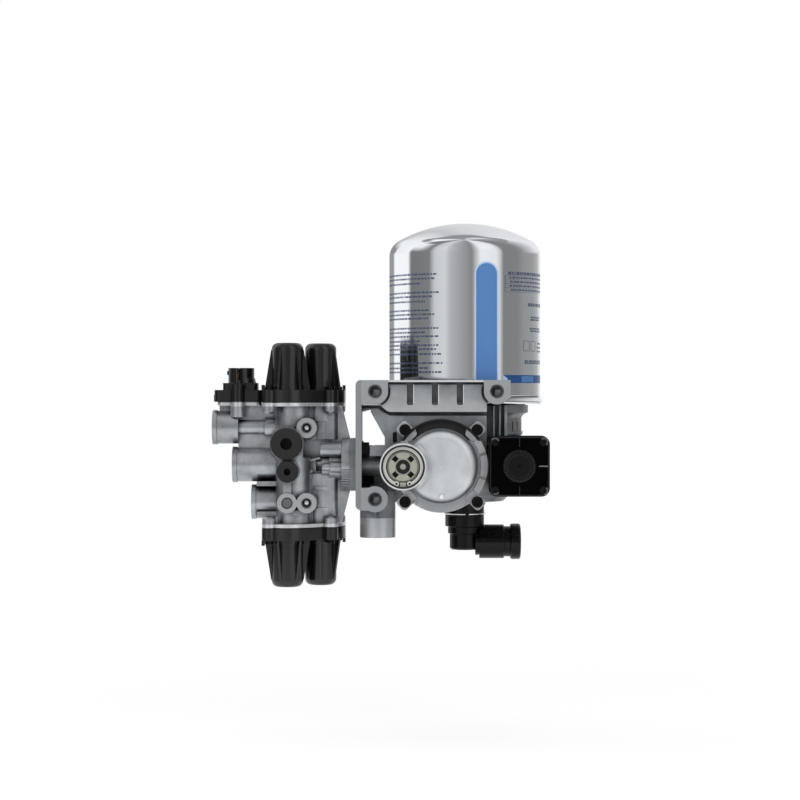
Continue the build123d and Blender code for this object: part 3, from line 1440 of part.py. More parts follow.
# Pressure sensor: a black moulding with a bayonet socket and a screw sleeve
with BuildPart() as pressure_sensor:
    with BuildSketch(level(plate_low)):
        with Locations(((sensor_left + sensor_right) / 2, sensor_y - 2)):
            RectangleRounded(sensor_right - sensor_left, 26.0, 5.0)
    extrude(amount=plate_top - plate_low)
    with BuildSketch(level(plate_top)):
        with Locations((sensor_x - 0.4, sensor_y)):
            RectangleRounded(31.0, 20.0, 4.0)
    extrude(amount=sensor_step - plate_top)
    with BuildSketch(level(sensor_step)):
        with Locations((sensor_x, sensor_y)):
            Circle(sensor_r)
    extrude(amount=sensor_top - sensor_step)
    with BuildSketch(level(sensor_step)):
        with Locations((sensor_x + 1.0, sensor_y)):
            Circle(sensor_r + 0.8)
    extrude(amount=4.6, taper=16)
    with BuildSketch(level(sensor_top - 6.2)):
        with Locations((sensor_x - sensor_r, sensor_y)):
            Rectangle(2.0, 5.0)
    extrude(amount=3.6)
    with BuildSketch(level(plate_low)):
        with Locations((sleeve_x, sleeve_y)):
            Circle(sleeve_r)
            with PolarLocations(sleeve_r, sleeve_grooves):
                Rectangle(1.4, 1.3, mode=Mode.SUBTRACT)
    extrude(amount=sleeve_top - plate_low)
    with Locations((sensor_left - 0.8, sensor_y - 2, plate_low)):
        Box(3.0, 9.0, 6.2, align=(Align.MIN, Align.CENTER, Align.MIN))
    with BuildSketch(level(plate_low)):
        with Locations((sensor_x, sensor_y)):
            Circle(sensor_nose_r)
    extrude(amount=-6.0)
    with BuildSketch(level(sensor_top)):
        with Locations((sensor_x, sensor_y)):
            Circle(sensor_r - 2.2)
    extrude(amount=-11.0, mode=Mode.SUBTRACT)
    with BuildSketch(level(sensor_top - 11.0)):
        with Locations((sensor_x, sensor_y)):
            with PolarLocations(4.0, 4, start_angle=45):
                Circle(contact_r)
    extrude(amount=-4.0, mode=Mode.SUBTRACT)
    with Locations(level(sleeve_top) * Location((sleeve_x, sleeve_y))):
        CounterBoreHole(cap_screw_r + 0.3, cap_head_r + 0.5, 4.5, depth=sleeve_top - plate_low)
    with BuildSketch(level(plate_low - 4.2)):
        with Locations((sensor_x, sensor_y)):
            Circle(sensor_nose_r + 1)
            Circle(sensor_nose_r - 1.4, mode=Mode.SUBTRACT)
    extrude(amount=1.9, mode=Mode.SUBTRACT)
pressure_sensor.part.label = "pressure_sensor"
export_step(pressure_sensor.part, "parts/pressure_sensor.step")

# Four contact pins in the sensor's socket
with BuildPart() as sensor_contacts:
    with BuildSketch(level(sensor_top - 15.0)):
        with Locations((sensor_x, sensor_y)):
            with PolarLocations(4.0, 4, start_angle=45):
                Circle(contact_r - 0.02)
    extrude(amount=11.0)
sensor_contacts.part.label = "sensor_contacts"
export_step(sensor_contacts.part, "parts/sensor_contacts.step")

# Screw of the sensor, and the ring round its nose
with BuildPart() as sensor_screw:
    with BuildSketch(level(sleeve_top - 4.5)):
        with Locations((sleeve_x, sleeve_y)):
            Circle(cap_head_r)
    extrude(amount=cap_head_height)
    with BuildSketch(level(sleeve_top - 4.5 + cap_head_height)):
        with Locations((sleeve_x, sleeve_y)):
            RegularPolygon(2.0, 6)
    extrude(amount=-1.8, mode=Mode.SUBTRACT)
    with BuildSketch(level(sleeve_top - 4.5)):
        with Locations((sleeve_x, sleeve_y)):
            Circle(cap_screw_r)
    extrude(amount=plate_low - 10.0 - sleeve_top + 4.5)
sensor_screw.part.label = "sensor_screw"
export_step(sensor_screw.part, "parts/sensor_screw.step")

with BuildPart() as sensor_seal:
    with BuildSketch(front(sensor_y)):
        with Locations((sensor_x + sensor_nose_r - 0.7, plate_low - 3.25)):
            RectangleRounded(1.3, 1.8, 0.5)
    revolve(axis=Axis((sensor_x, sensor_y, 0), (0, 0, 1)))
sensor_seal.part.label = "sensor_seal"
export_step(sensor_seal.part, "parts/sensor_seal.step")

# Studs and nuts that hold the valve to the dryer, and the seal in their joint
with BuildPart() as joint_studs:
    with BuildSketch(across(joint_x - 20.0)):
        with Locations(*stud_places):
            Circle(stud_r)
    extrude(amount=plate_inner - joint_x + 20.0 + nut_height + stud_proud)
    chamfer(joint_studs.edges().filter_by(GeomType.CIRCLE), length=0.6)
joint_studs.part.label = "joint_studs"
export_step(joint_studs.part, "parts/joint_studs.step")

with BuildPart() as joint_nuts:
    with BuildSketch(across(plate_inner)):
        with Locations(*stud_places):
            Circle(nut_flats / 2 + 1.2)
    extrude(amount=1.6)
    with BuildSketch(across(plate_inner + 1.6)):
        with Locations(*stud_places):
            RegularPolygon(nut_flats / 2, 6, major_radius=False)
    extrude(amount=nut_height - 1.6)
    with BuildSketch(across(plate_inner)):
        with Locations(*stud_places):
            Circle(stud_r + 0.02)
    extrude(amount=nut_height, mode=Mode.SUBTRACT)
joint_nuts.part.label = "joint_nuts"
export_step(joint_nuts.part, "parts/joint_nuts.step")

with BuildPart() as joint_seal:
    with BuildSketch(level(axis_z)):
        with Locations((joint_x + 1.05, joint_y + joint_seal_r)):
            RectangleRounded(1.9, 2.0, 0.7)
    revolve(axis=Axis((0, joint_y, axis_z), (1, 0, 0)))
joint_seal.part.label = "joint_seal"
export_step(joint_seal.part, "parts/joint_seal.step")
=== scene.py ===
from math import pi, radians

import bpy
import numpy as np
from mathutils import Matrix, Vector


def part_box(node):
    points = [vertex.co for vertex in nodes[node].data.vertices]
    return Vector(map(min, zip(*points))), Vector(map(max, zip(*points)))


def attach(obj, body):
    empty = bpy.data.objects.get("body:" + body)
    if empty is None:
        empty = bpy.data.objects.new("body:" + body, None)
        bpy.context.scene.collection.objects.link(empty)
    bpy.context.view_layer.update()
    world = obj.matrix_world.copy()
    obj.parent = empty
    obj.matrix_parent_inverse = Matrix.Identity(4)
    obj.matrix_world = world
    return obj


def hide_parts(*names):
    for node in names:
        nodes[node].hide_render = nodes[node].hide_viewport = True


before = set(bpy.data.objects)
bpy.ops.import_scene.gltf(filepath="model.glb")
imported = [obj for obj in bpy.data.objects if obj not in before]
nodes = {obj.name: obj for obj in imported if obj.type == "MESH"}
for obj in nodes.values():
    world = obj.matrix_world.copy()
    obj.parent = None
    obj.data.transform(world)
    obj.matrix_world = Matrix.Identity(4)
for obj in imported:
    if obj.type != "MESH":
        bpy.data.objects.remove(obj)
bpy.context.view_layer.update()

# The dryer housing is one sand-cast aluminium piece: three threaded bosses, a ribbed bar, the slotted
# tower under the cartridge and the flanges for the cover, the governor and the valve. It is left as
# cast, and only the boss faces and the joints are milled, so these are smoother and brighter.
def linear(hex_colour):
    """Turns an sRGB hex colour into the linear colour that the shader works in."""
    parts = np.array([int(hex_colour[i:i + 2], 16) for i in (1, 3, 5)]) / 255
    curve = np.where(parts <= 0.04045, parts / 12.92, ((parts + 0.055) / 1.055) ** 2.4)
    return (*curve.tolist(), 1.0)


def add(owner, kind, inputs=(), **settings):
    """Adds one node with its settings, and fills or links the sockets that inputs names."""
    tree = owner.node_tree
    made = tree.nodes.new(kind)
    for name, value in settings.items():
        setattr(made, name, value)
    for socket, value in dict(inputs).items():
        if isinstance(value, bpy.types.NodeSocket):
            tree.links.new(value, made.inputs[socket])
        else:
            made.inputs[socket].default_value = value
    return made


def finish(name, colour, roughness, metallic=0.0, **sockets):
    """Starts a material with one shader, whose constant values sit on its own sockets."""
    material = bpy.data.materials.new(name)
    material.use_nodes = True
    shader = material.node_tree.nodes["Principled BSDF"]
    shader.inputs["Base Color"].default_value = linear(colour)
    shader.inputs["Roughness"].default_value = roughness
    shader.inputs["Metallic"].default_value = metallic
    for socket, value in sockets.items():
        shader.inputs[socket.replace("_", " ")].default_value = value
    return material


def surface(material, colour=None, roughness=None, normal=None):
    """Links a pattern's colour, roughness and normal into the material's shader."""
    shader = material.node_tree.nodes["Principled BSDF"]
    for socket, value in (("Base Color", colour), ("Roughness", roughness), ("Normal", normal)):
        if value is not None:
            material.node_tree.links.new(value, shader.inputs[socket])


def feeding(material, socket):
    """The pattern that feeds one socket of the material's shader so far."""
    return material.node_tree.nodes["Principled BSDF"].inputs[socket].links[0].from_socket


def cast_aluminium(name, dark, light, zones, grit_mm, roughness, metallic, corner_shade, corner_mm=10):
    """Cast aluminium: a matt grey skin with fine grit, slow cloudy changes of tone, painted shade in its
    corners and edges that the mould left round. A zone (axis, middle, reach, tone) is a slice of the piece
    across one axis that has its own tone, such as a milled face. The share corner_shade, from 0 to 1, is
    how much of the dark tone the deepest corners take as painted shade, and corner_mm is how far it
    reaches out of them. The mould's own grain of about 0.2 mm is too fine to show, so the grit is drawn
    coarser, at grit_mm."""
    clouds_per_metre = 60.0  # each about 17 mm across
    material = finish(name, light, roughness, metallic)
    place = add(material, "ShaderNodeTexCoord").outputs["Object"]
    cloud = add(material, "ShaderNodeTexNoise", {
        "Vector": place, "Scale": clouds_per_metre, "Detail": 4.0})
    grit = add(material, "ShaderNodeTexNoise", {"Vector": place, "Scale": 1000 / grit_mm, "Detail": 2.0})
    tone = add(material, "ShaderNodeMapRange", {
        "Value": cloud.outputs["Fac"], "From Min": 0.32, "From Max": 0.68})
    colour = add(material, "ShaderNodeMix", {
        0: tone.outputs["Result"], 6: linear(dark), 7: linear(light)}, data_type="RGBA").outputs[2]
    along = add(material, "ShaderNodeSeparateXYZ", {"Vector": place}).outputs
    for axis, middle, reach, zone_tone in zones:
        zone = add(material, "ShaderNodeMath", {0: along[axis], 1: middle, 2: reach}, operation="COMPARE")
        colour = add(material, "ShaderNodeMix", {
            0: zone.outputs["Value"], 6: colour, 7: linear(zone_tone)}, data_type="RGBA").outputs[2]
    # Corners and creases that the occlusion finds are darkened with painted shade
    shelter = add(material, "ShaderNodeAmbientOcclusion", {"Distance": corner_mm / 1000}, samples=8)
    shade_share = add(material, "ShaderNodeMapRange", {
        "Value": shelter.outputs["AO"], "From Min": 0.15, "From Max": 0.85, "To Min": corner_shade, "To Max": 0.0})
    shaded_colour = add(material, "ShaderNodeMix", {
        0: shade_share.outputs["Result"], 6: colour, 7: linear("#1c1e20")}, data_type="RGBA").outputs[2]
    rough = add(material, "ShaderNodeMapRange", {
        "Value": grit.outputs["Fac"], "To Min": roughness - 0.08, "To Max": roughness + 0.1})
    edge = add(material, "ShaderNodeBevel", {"Radius": 0.0006}, samples=4)
    bump = add(material, "ShaderNodeBump", {
        "Height": grit.outputs["Fac"], "Normal": edge.outputs["Normal"], "Strength": 0.3,
        "Distance": 0.0002})
    surface(material, shaded_colour, rough.outputs["Result"], bump.outputs["Normal"])
    return material


def wear(node_name, material):
    """Gives a CAD node its material in place of the plain one from the record."""
    node = nodes[node_name]
    node.data.materials.clear()
    node.data.materials.append(material)


flat_reach = 0.00005
tube_middle_z = -0.1215
tube_reach = 0.0095
milled_faces = ("Y", 0.0, flat_reach, "#9a9da0")
# The bar's top lip is painted near white, a painted highlight where light catches its edge
lip_highlight = ("Y", 0.0006, flat_reach, "#cccecf")
plate_edge = ("X", -0.0681, 0.0028, "#8a8d90")
turned_tube = ("Z", tube_middle_z, tube_reach, "#b4b7ba")
sand_cast = cast_aluminium(
    "sand_cast_aluminium", "#707477", "#94979a", [milled_faces, lip_highlight, plate_edge, turned_tube],
    grit_mm=0.9, roughness=0.46, metallic=0.7, corner_shade=0.5)
wear("dryer_housing", sand_cast)

# The supply tube at the lower left is turned, so it is smoother than the rest and has no grit
tube_smoother = -0.16
cast_place = add(sand_cast, "ShaderNodeTexCoord").outputs["Object"]
cast_along = add(sand_cast, "ShaderNodeSeparateXYZ", {"Vector": cast_place}).outputs
on_tube = add(sand_cast, "ShaderNodeMath", {0: cast_along["Z"], 1: tube_middle_z, 2: tube_reach},
              operation="COMPARE")
smoothed = add(sand_cast, "ShaderNodeMath", {
    0: on_tube.outputs["Value"], 1: tube_smoother, 2: feeding(sand_cast, "Roughness")},
    operation="MULTIPLY_ADD")
surface(sand_cast, roughness=smoothed.outputs["Value"])
grit_depth = add(sand_cast, "ShaderNodeMapRange", {
    "Value": on_tube.outputs["Value"], "To Min": 0.3, "To Max": 0.0})
sand_cast.node_tree.links.new(grit_depth.outputs["Result"],
                              sand_cast.node_tree.nodes["Bump"].inputs["Strength"])

# The bar's face leans back a little, so it is painted lighter towards its lower edge, as light would fall on
# it
bar_face_y = 0.0046
bar_top_z = 0.006
bar_low_z = -0.0165
on_bar = add(sand_cast, "ShaderNodeMath", {0: cast_along["Y"], 1: bar_face_y, 2: flat_reach},
             operation="COMPARE")
lit = add(sand_cast, "ShaderNodeMapRange", {
    "Value": cast_along["Z"], "From Min": bar_top_z, "From Max": bar_low_z, "To Min": 0.0, "To Max": 0.65})
lit_bar = add(sand_cast, "ShaderNodeMath", {0: lit.outputs["Result"], 1: on_bar.outputs["Value"]},
              operation="MULTIPLY")
surface(sand_cast, add(sand_cast, "ShaderNodeMix", {
    0: lit_bar.outputs["Value"], 6: feeding(sand_cast, "Base Color"), 7: linear("#bfc1c3")},
    data_type="RGBA").outputs[2])


# Along the right edge of each of the bar's three slots lies a painted highlight: a near-white strip beside
# the dark slot. It is a flat strip just proud of the bar's face, with sloping sides.
def skin(name, points, material, ends="capped", smooth=True):
    """Builds one mesh from grids of points (grids, rows, columns, xyz). Each grid closes on itself along
    its columns, and its first and last rows are capped by one face each, or joined to each other."""
    grids, rows, columns = points.shape[:3]
    steps = rows if ends == "joined" else rows - 1
    grid, row, column = np.meshgrid(np.arange(grids), np.arange(steps), np.arange(columns), indexing="ij")
    corners = [(row, column), (row, column + 1), (row + 1, column + 1), (row + 1, column)]
    faces = np.stack([(grid * rows + r % rows) * columns + c % columns for r, c in corners], axis=-1)
    faces = faces.reshape(-1, 4).tolist()
    if ends == "capped":
        ring = np.arange(grids)[:, None] * rows * columns + np.arange(columns)
        faces += ring[:, ::-1].tolist() + (ring + (rows - 1) * columns).tolist()
    mesh = bpy.data.meshes.new(name)
    mesh.from_pydata(points.reshape(-1, 3).tolist(), [], faces)
    if smooth:
        mesh.shade_smooth()
    mesh.materials.append(material)
    piece = bpy.data.objects.new(name, mesh)
    bpy.context.scene.collection.objects.link(piece)
    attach(piece, "root")
    return piece


slot_right_x = np.array([-0.0226, -0.0008, 0.0210]) + 0.0027
highlight_width = 0.0009
highlight_z = np.array([-0.0104, 0.0060])
highlight_x = slot_right_x[:, None, None] + np.array([0.0, 0.2, 0.8, 1.0]) * highlight_width
highlight_y = bar_face_y + np.array([0.0004, -0.00006, -0.00006, 0.0004])
painted_highlight_metal = finish("painted_highlight_aluminium", "#eceef0", 0.35, metallic=0.6)
skin("slot_edge_highlights", np.stack(np.broadcast_arrays(highlight_x, highlight_y, highlight_z[None, :, None]), axis=-1),
     painted_highlight_metal, smooth=False)


# Threads of the three mounting holes: cut in the casting with a tap, and full depth only near the mouth,
# where the oiled metal is dark.
axis_gap = 0.00001
hole_wall = 0.00005


def bored(name, mouth, inward, across, profile, pitch, material, ends="joined"):
    """Turns a profile of (depth t, radius r, tooth height h) round the axis of a hole. Each radius is
    r - h * triangle(t / pitch - turn), a tooth that rises and falls once per pitch and winds as a
    thread."""
    t, r, tooth = np.asarray(profile, float).T[:, :, None]
    a = np.linspace(0, 2 * pi, 48, endpoint=False)
    lead = (t / pitch - a / (2 * pi)) % 1.0
    radius = r - tooth * (1 - np.abs(2 * lead - 1))
    inward, across = np.array(inward, float), np.array(across, float)
    up = np.cross(across, inward)
    points = (np.array(mouth) + (t + 0 * a)[..., None] * inward + (radius * np.cos(a))[..., None] * across
              + (radius * np.sin(a))[..., None] * up)
    return skin(name, points[None], material, ends)


def tapped(length, outer_r, end_r, pitch, floor):
    """Profile of a tapped hole: teeth that narrow from outer_r to end_r over the length, six points to a
    pitch, then either a drilled floor and the way back outside it, or just the way back."""
    t = np.linspace(0, length, int(length / pitch * 6) + 1)
    teeth = np.stack([t, outer_r + (end_r - outer_r) * t / length,
                      0.5 * pitch * np.clip(t / pitch, 0, 1)], axis=1)
    wall = [(length + floor, outer_r + hole_wall, 0), (0, outer_r + hole_wall, 0)]
    if not floor:
        return np.concatenate([teeth, wall])
    return np.concatenate([[(length + floor, axis_gap, 0)], wall, teeth,
                           [(length + floor / 2, axis_gap, 0)]])


thread_pitch = 0.0015
mouth_y = 0.0004
boss_hole_x = 0.0532
lower_hole_z = -0.094
boss_thread = tapped(length=0.0108, outer_r=0.0061, end_r=0.0045, pitch=thread_pitch, floor=0.0008)
oiled_aluminium = finish("oiled_cut_aluminium", "#909396", 0.4, metallic=0.8)
for name, x, z in (("left_hole_thread", -boss_hole_x, 0.0), ("right_hole_thread", boss_hole_x, 0.0),
                   ("lower_hole_thread", -boss_hole_x, lower_hole_z)):
    bored(name, (x, mouth_y, z), (0, 1, 0), (1, 0, 0), boss_thread, thread_pitch, oiled_aluminium,
          ends="capped")


# All the seals, gaskets and membranes of the unit are moulded nitrile rubber, a dull black with a faint
# bloom, and are clamped by their neighbours. The bush of the port's valve is given a darker black.
def rubber(name, colour, grain_mm):
    """Moulded nitrile rubber: a dull black whose faint bloom changes the gloss in patches, grain_mm
    across."""
    material = finish(name, colour, 0.62, Specular_IOR_Level=0.3)
    place = add(material, "ShaderNodeTexCoord").outputs["Object"]
    bloom = add(material, "ShaderNodeTexNoise", {"Vector": place, "Scale": 1000 / grain_mm, "Detail": 4.0})
    rough = add(material, "ShaderNodeMapRange", {
        "Value": bloom.outputs["Fac"], "To Min": 0.5, "To Max": 0.75})
    bump = add(material, "ShaderNodeBump", {
        "Height": bloom.outputs["Fac"], "Strength": 0.15, "Distance": 0.0002})
    surface(material, roughness=rough.outputs["Result"], normal=bump.outputs["Normal"])
    return material


nitrile_rubber = rubber("nitrile_rubber", "#222121", grain_mm=2.5)
for seal in ("cartridge_seal", "cover_gasket", "governor_gasket", "port_seal", "joint_seal",
             "sensor_seal", "upper_membrane", "lower_membrane"):
    wear(seal, nitrile_rubber)
wear("port_valve_bush", rubber("darker_nitrile_rubber", "#0b0a0a", grain_mm=2.5))


# The cartridge is a deep-drawn steel can, bright plated, rolled onto its base plate with a double
# seam. It screws onto the tower's stud and holds the drying beads.
low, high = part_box("desiccant_cartridge")
can_x, can_y = (low.x + high.x) / 2, (low.y + high.y) / 2
rim_r = (high.x - low.x) / 2
can_r = rim_r - 0.0014
can_top = high.z
can_low = low.z
base_z = can_low + 0.0022
curl_r = 0.0018
rim_top_z = can_low + 0.0038
rim_edge_r = 0.0008
seam_z = can_low + 0.0062
crown_r = 0.122
shoulder_r = 0.0155
crown_angle = np.degrees(np.arccos((can_r - shoulder_r) / (crown_r - shoulder_r)))
shoulder_z = can_top - crown_r + (crown_r - shoulder_r) * np.sin(np.radians(crown_angle))


def arc(centre, radius, start, end, count):
    """Points on an arc in the profile plane, from one angle to another in degrees."""
    angle = np.radians(np.linspace(start, end, count))
    return np.stack([centre[0] + radius * np.cos(angle), centre[1] + radius * np.sin(angle)], axis=1)


# The profile of (radius, height) goes from the base up the wall to the top, and is turned round the
# can's upright axis: each point is (x + r cos a, y + r sin a, height)
can_profile = np.concatenate([
    [(axis_gap, base_z), (can_r - 0.0045, base_z)],
    arc((rim_r - curl_r, can_low + curl_r), curl_r, 215, 360, 9),
    [(rim_r, rim_top_z)],
    arc((rim_r - rim_edge_r, rim_top_z), rim_edge_r, 0, 90, 5),
    [(can_r - 0.0002, seam_z - 0.0012), (can_r - 0.0006, seam_z), (can_r - 0.0001, seam_z + 0.0008)],
    [(can_r, seam_z + 0.0016), (can_r, (seam_z + shoulder_z) / 2)],
    arc((can_r - shoulder_r, shoulder_z), shoulder_r, 0, crown_angle, 18),
    arc((0.0, can_top - crown_r), crown_r, crown_angle, 89.99, 26)[1:],
])
r, height = can_profile.T[:, :, None]
a = np.linspace(0, 2 * pi, 256, endpoint=False)
can_points = np.stack([can_x + r * np.cos(a), can_y + r * np.sin(a), height + 0 * a], axis=-1)

# Bright plated steel: nearly a mirror, with a dark line painted as shade in the crease of its seam, and faint
# upright draw marks.
# Real ones are too fine to show, so these are about 1 mm apart: 900 to the metre across, and 8 up
bright_plate = "#ebeef2"
draw_marks = (900.0, 900.0, 8.0)
seam_shade_z = seam_z + 0.0004
seam_shade_reach = 0.0006
plated_can = finish("bright_plated_can", bright_plate, 0.18, metallic=1.0)
place = add(plated_can, "ShaderNodeTexCoord").outputs["Object"]
streaks = add(plated_can, "ShaderNodeMapping", {"Vector": place, "Scale": draw_marks})
drawn = add(plated_can, "ShaderNodeTexNoise", {"Vector": streaks.outputs["Vector"], "Scale": 1.0})
drawn_rough = add(plated_can, "ShaderNodeMapRange", {
    "Value": drawn.outputs["Fac"], "To Min": 0.06, "To Max": 0.10})
along = add(plated_can, "ShaderNodeSeparateXYZ", {"Vector": place}).outputs
seam_shade_mask = add(plated_can, "ShaderNodeMath", {0: along["Z"], 1: seam_shade_z, 2: seam_shade_reach},
              operation="COMPARE")
seam_shaded = add(plated_can, "ShaderNodeMix", {
    0: seam_shade_mask.outputs["Value"], 6: linear(bright_plate), 7: linear("#3c3e40")}, data_type="RGBA")
surface(plated_can, seam_shaded.outputs[2], drawn_rough.outputs["Result"])
can = skin("cartridge_can", can_points[None], plated_can)
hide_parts("desiccant_cartridge")


# The print on the can is screen-printed ink: a blue stripe with a pale edge, a dark blue band low on the
# right and blocks of fine dark bars that spell nothing. Heights are in metres, bearings in degrees.
ink_lift = 0.00006
over_ink = 1.6 * ink_lift

# The ink is thin over the plate, so it keeps a little of the metal's shine
blue_ink = finish("mid_blue_ink", "#4b78b0", 0.38, metallic=0.25)
pale_ink = finish("pale_blue_ink", "#a9c0de", 0.4, metallic=0.25)
navy_ink = finish("navy_ink", "#1d4a80", 0.35, metallic=0.25)
grey_ink = finish("slate_ink", "#56647e", 0.24, metallic=0.55)


def printed(name, bearings, low_edge, high_edge, lift, material):
    """Ink on the can. Each row of bearings b from the front is one bar between two edges of height z, and
    its points (x + r sin b, y - r cos b, z) go round the bar's four long edges."""
    b = np.radians(bearings)[..., None]
    edges = [high_edge, high_edge, low_edge, low_edge]
    z = np.stack([np.broadcast_to(edge, np.shape(bearings)) for edge in edges], axis=-1)
    r = can_r + np.array([-0.0001, lift, lift, -0.0001])
    points = np.stack([can_x + r * np.sin(b), can_y - r * np.cos(b), z], axis=-1)
    return skin(name, points, material, smooth=False)


stripe_bearing = 14.9
stripe_low = 0.0048
stripe_top = 0.1134
stripe_half_width = 0.0096
edge_top = stripe_top + 0.0014
edge_half_width = 0.0111


def round_topped(name, half_width, top, lift, material):
    """A stripe up the can whose top is a half circle: at the offset s from its middle the top lies at
    top - half_width + sqrt(half_width^2 - s^2)."""
    s = half_width * np.sin(np.linspace(-pi / 2, pi / 2, 41))
    bearings = stripe_bearing + np.degrees(s / can_r)
    round_edge = top - half_width + np.sqrt(np.maximum(half_width ** 2 - s ** 2, 0))
    return printed(name, bearings[None], stripe_low, round_edge[None], lift, material)


round_topped("stripe_edge", edge_half_width, edge_top, ink_lift, pale_ink)
round_topped("stripe_fill", stripe_half_width, stripe_top, over_ink, blue_ink)

band_low = 0.0076
band_high = 0.0147
band_middle = (band_low + band_high) / 2
band_edge = 0.0009
printed("band", np.linspace(28.5, 116, 60)[None], band_low, band_high, ink_lift, navy_ink)
arrow = np.linspace(0, 1, 8)[None]
printed("band_arrow", 28 + 4.5 * arrow, band_low + arrow * (band_middle - band_low),
        band_high - arrow * (band_high - band_middle), over_ink, pale_ink)
printed("band_light", np.linspace(46, 62, 12)[None], band_low + band_edge, band_high - band_edge, over_ink,
        blue_ink)


def small_print(name, start, lines, seed, height=0.0016):
    """A block of fine bars: each line (top, end bearing) is cut from the start bearing on into dashes of
    seeded length and gap."""
    chance = np.random.default_rng(seed)
    bars = []
    for top, end in lines:
        cuts = start + np.cumsum(chance.uniform([0.9, 0.5], [3.6, 1.0], (60, 2)).ravel())
        first, last = cuts[1::2][:-1], cuts[2::2]
        shown = last < end
        bars.append(np.stack([first[shown], last[shown], np.full(shown.sum(), top)], axis=1))
    first, last, top = np.concatenate(bars).T[:, :, None]
    along = np.linspace(0, 1, 4)
    printed(name, first + (last - first) * along, top - height, top, ink_lift, grey_ink)


left_start = -100
for number, lines in enumerate((
        [(0.1047, -21), (0.1009, -23), (0.0966, -37)],
        [(0.0886, -20), (0.0850, -24), (0.0806, -29)],
        [(0.0728, -28), (0.0692, -22), (0.0656, -26)],
        [(0.0569, -21), (0.0533, -30), (0.0497, -20), (0.0454, -35)],
        [(0.0418, -20), (0.0383, -20), (0.0340, -18)],
        [(0.0260, -17), (0.0216, -27), (0.0180, -17)]), 1):
    small_print(f"notes_left_{number}", left_start, lines, seed=number)

# The ruled table, high on the right
table_left = 29.5
table_right = 92
rule_z = np.array([0.1030, 0.0994, 0.0958, 0.0922, 0.0886])
rule_width = 0.00025
small_print("notes_right_title", 29, [(0.1062, table_right)], seed=7, height=0.0026)
small_print("notes_right_table", 31, [(z, 90) for z in (0.1018, 0.0982, 0.0946, 0.0910)], seed=8)
rule_tops = rule_z[:, None] + np.zeros(20)
printed("notes_right_rules", np.linspace(table_left, table_right, 20) + 0 * rule_tops,
        rule_tops - rule_width, rule_tops, ink_lift, grey_ink)
printed("notes_right_side", np.linspace(table_left, table_left + 0.5, 4)[None], rule_z[-1], rule_z[0],
        ink_lift, grey_ink)
small_print("notes_right_mark", 50, [(0.0790, 84)], seed=9, height=0.0030)
small_print("notes_right_sign", 54, [(0.0672, 78), (0.0650, 78), (0.0571, 80), (0.0549, 80)], seed=10)

# Two empty boxes, whose four sides each run from one bearing to another between two heights
box_low, box_high = 0.0360, 0.0453
box_side = 8.0
box_line = 0.0005
box_sides = np.array([(0, box_side, box_high - box_line, box_high),
                      (0, box_side, box_low, box_low + box_line),
                      (0, 0.5, box_low, box_high),
                      (box_side - 0.5, box_side, box_low, box_high)])
first, last, lower, upper = box_sides.T[:, :, None]
for corner, left in (("a", 48.0), ("b", 58.0)):
    printed(f"notes_right_box_{corner}", left + first + (last - first) * np.linspace(0, 1, 4),
            lower + np.zeros(4), upper + np.zeros(4), ink_lift, grey_ink)
small_print("notes_right_cells", 68, [(z, 84) for z in (0.0440, 0.0404, 0.0369)], seed=12)
small_print("notes_right_low", 48, [(0.0280, 84), (0.0262, 84)], seed=11)


# The domed cover is an aluminium die casting, finer and paler than the housing. It carries the round
# port on its left, whose end is turned bright, and closes the chamber with four screws in its lugs.
port_end = ("Y", -0.040, flat_reach, "#d2d4d6")
die_cast = cast_aluminium(
    "die_cast_aluminium", "#b9bcc0", "#cccfd2", [port_end], grit_mm=0.5, roughness=0.42, metallic=0.7,
    corner_shade=0.7)
wear("domed_cover", die_cast)


def from_axis(material, place, centre):
    """How far each point lies from an axis that runs along Y through the centre: the length of
    (place - centre) with its Y left out."""
    away = add(material, "ShaderNodeVectorMath", {0: place, 1: centre}, operation="SUBTRACT")
    flat = add(material, "ShaderNodeVectorMath", {0: away.outputs["Vector"], 1: (1, 0, 1)},
               operation="MULTIPLY")
    length = add(material, "ShaderNodeVectorMath", {0: flat.outputs["Vector"]}, operation="LENGTH")
    return length.outputs["Value"]


dome_x, dome_z = 0.0043, -0.0646
place = add(die_cast, "ShaderNodeTexCoord").outputs["Object"]
along = add(die_cast, "ShaderNodeSeparateXYZ", {"Vector": place}).outputs
dome_radius = from_axis(die_cast, place, (dome_x, 0.0, dome_z))

# The dome's flank is painted darker as shade where it rounds over, and the flange round it keeps the duller
# skin of the die, but neither where the port joins
flank_inner_r, flank_outer_r = 0.0285, 0.0305
flange_r = 0.0327
port_joins_x, port_ends_x = -0.024, -0.008
right_of_port = add(die_cast, "ShaderNodeMapRange", {
    "Value": along["X"], "From Min": port_joins_x, "From Max": port_ends_x})
flank = add(die_cast, "ShaderNodeMapRange", {
    "Value": dome_radius, "From Min": flank_inner_r, "From Max": flank_outer_r})
dull = add(die_cast, "ShaderNodeMath", {0: flank.outputs["Result"], 1: right_of_port.outputs["Result"]},
           operation="MULTIPLY")
on_flange = add(die_cast, "ShaderNodeMath", {0: dome_radius, 1: flange_r}, operation="GREATER_THAN")
flank_shade_flange_skin = add(die_cast, "ShaderNodeMix", {
    0: on_flange.outputs["Value"], 6: linear("#6a6d70"), 7: linear("#a4a7aa")}, data_type="RGBA")
cast_tone = add(die_cast, "ShaderNodeMix", {
    0: dull.outputs["Value"], 6: feeding(die_cast, "Base Color"), 7: flank_shade_flange_skin.outputs[2]},
    data_type="RGBA")
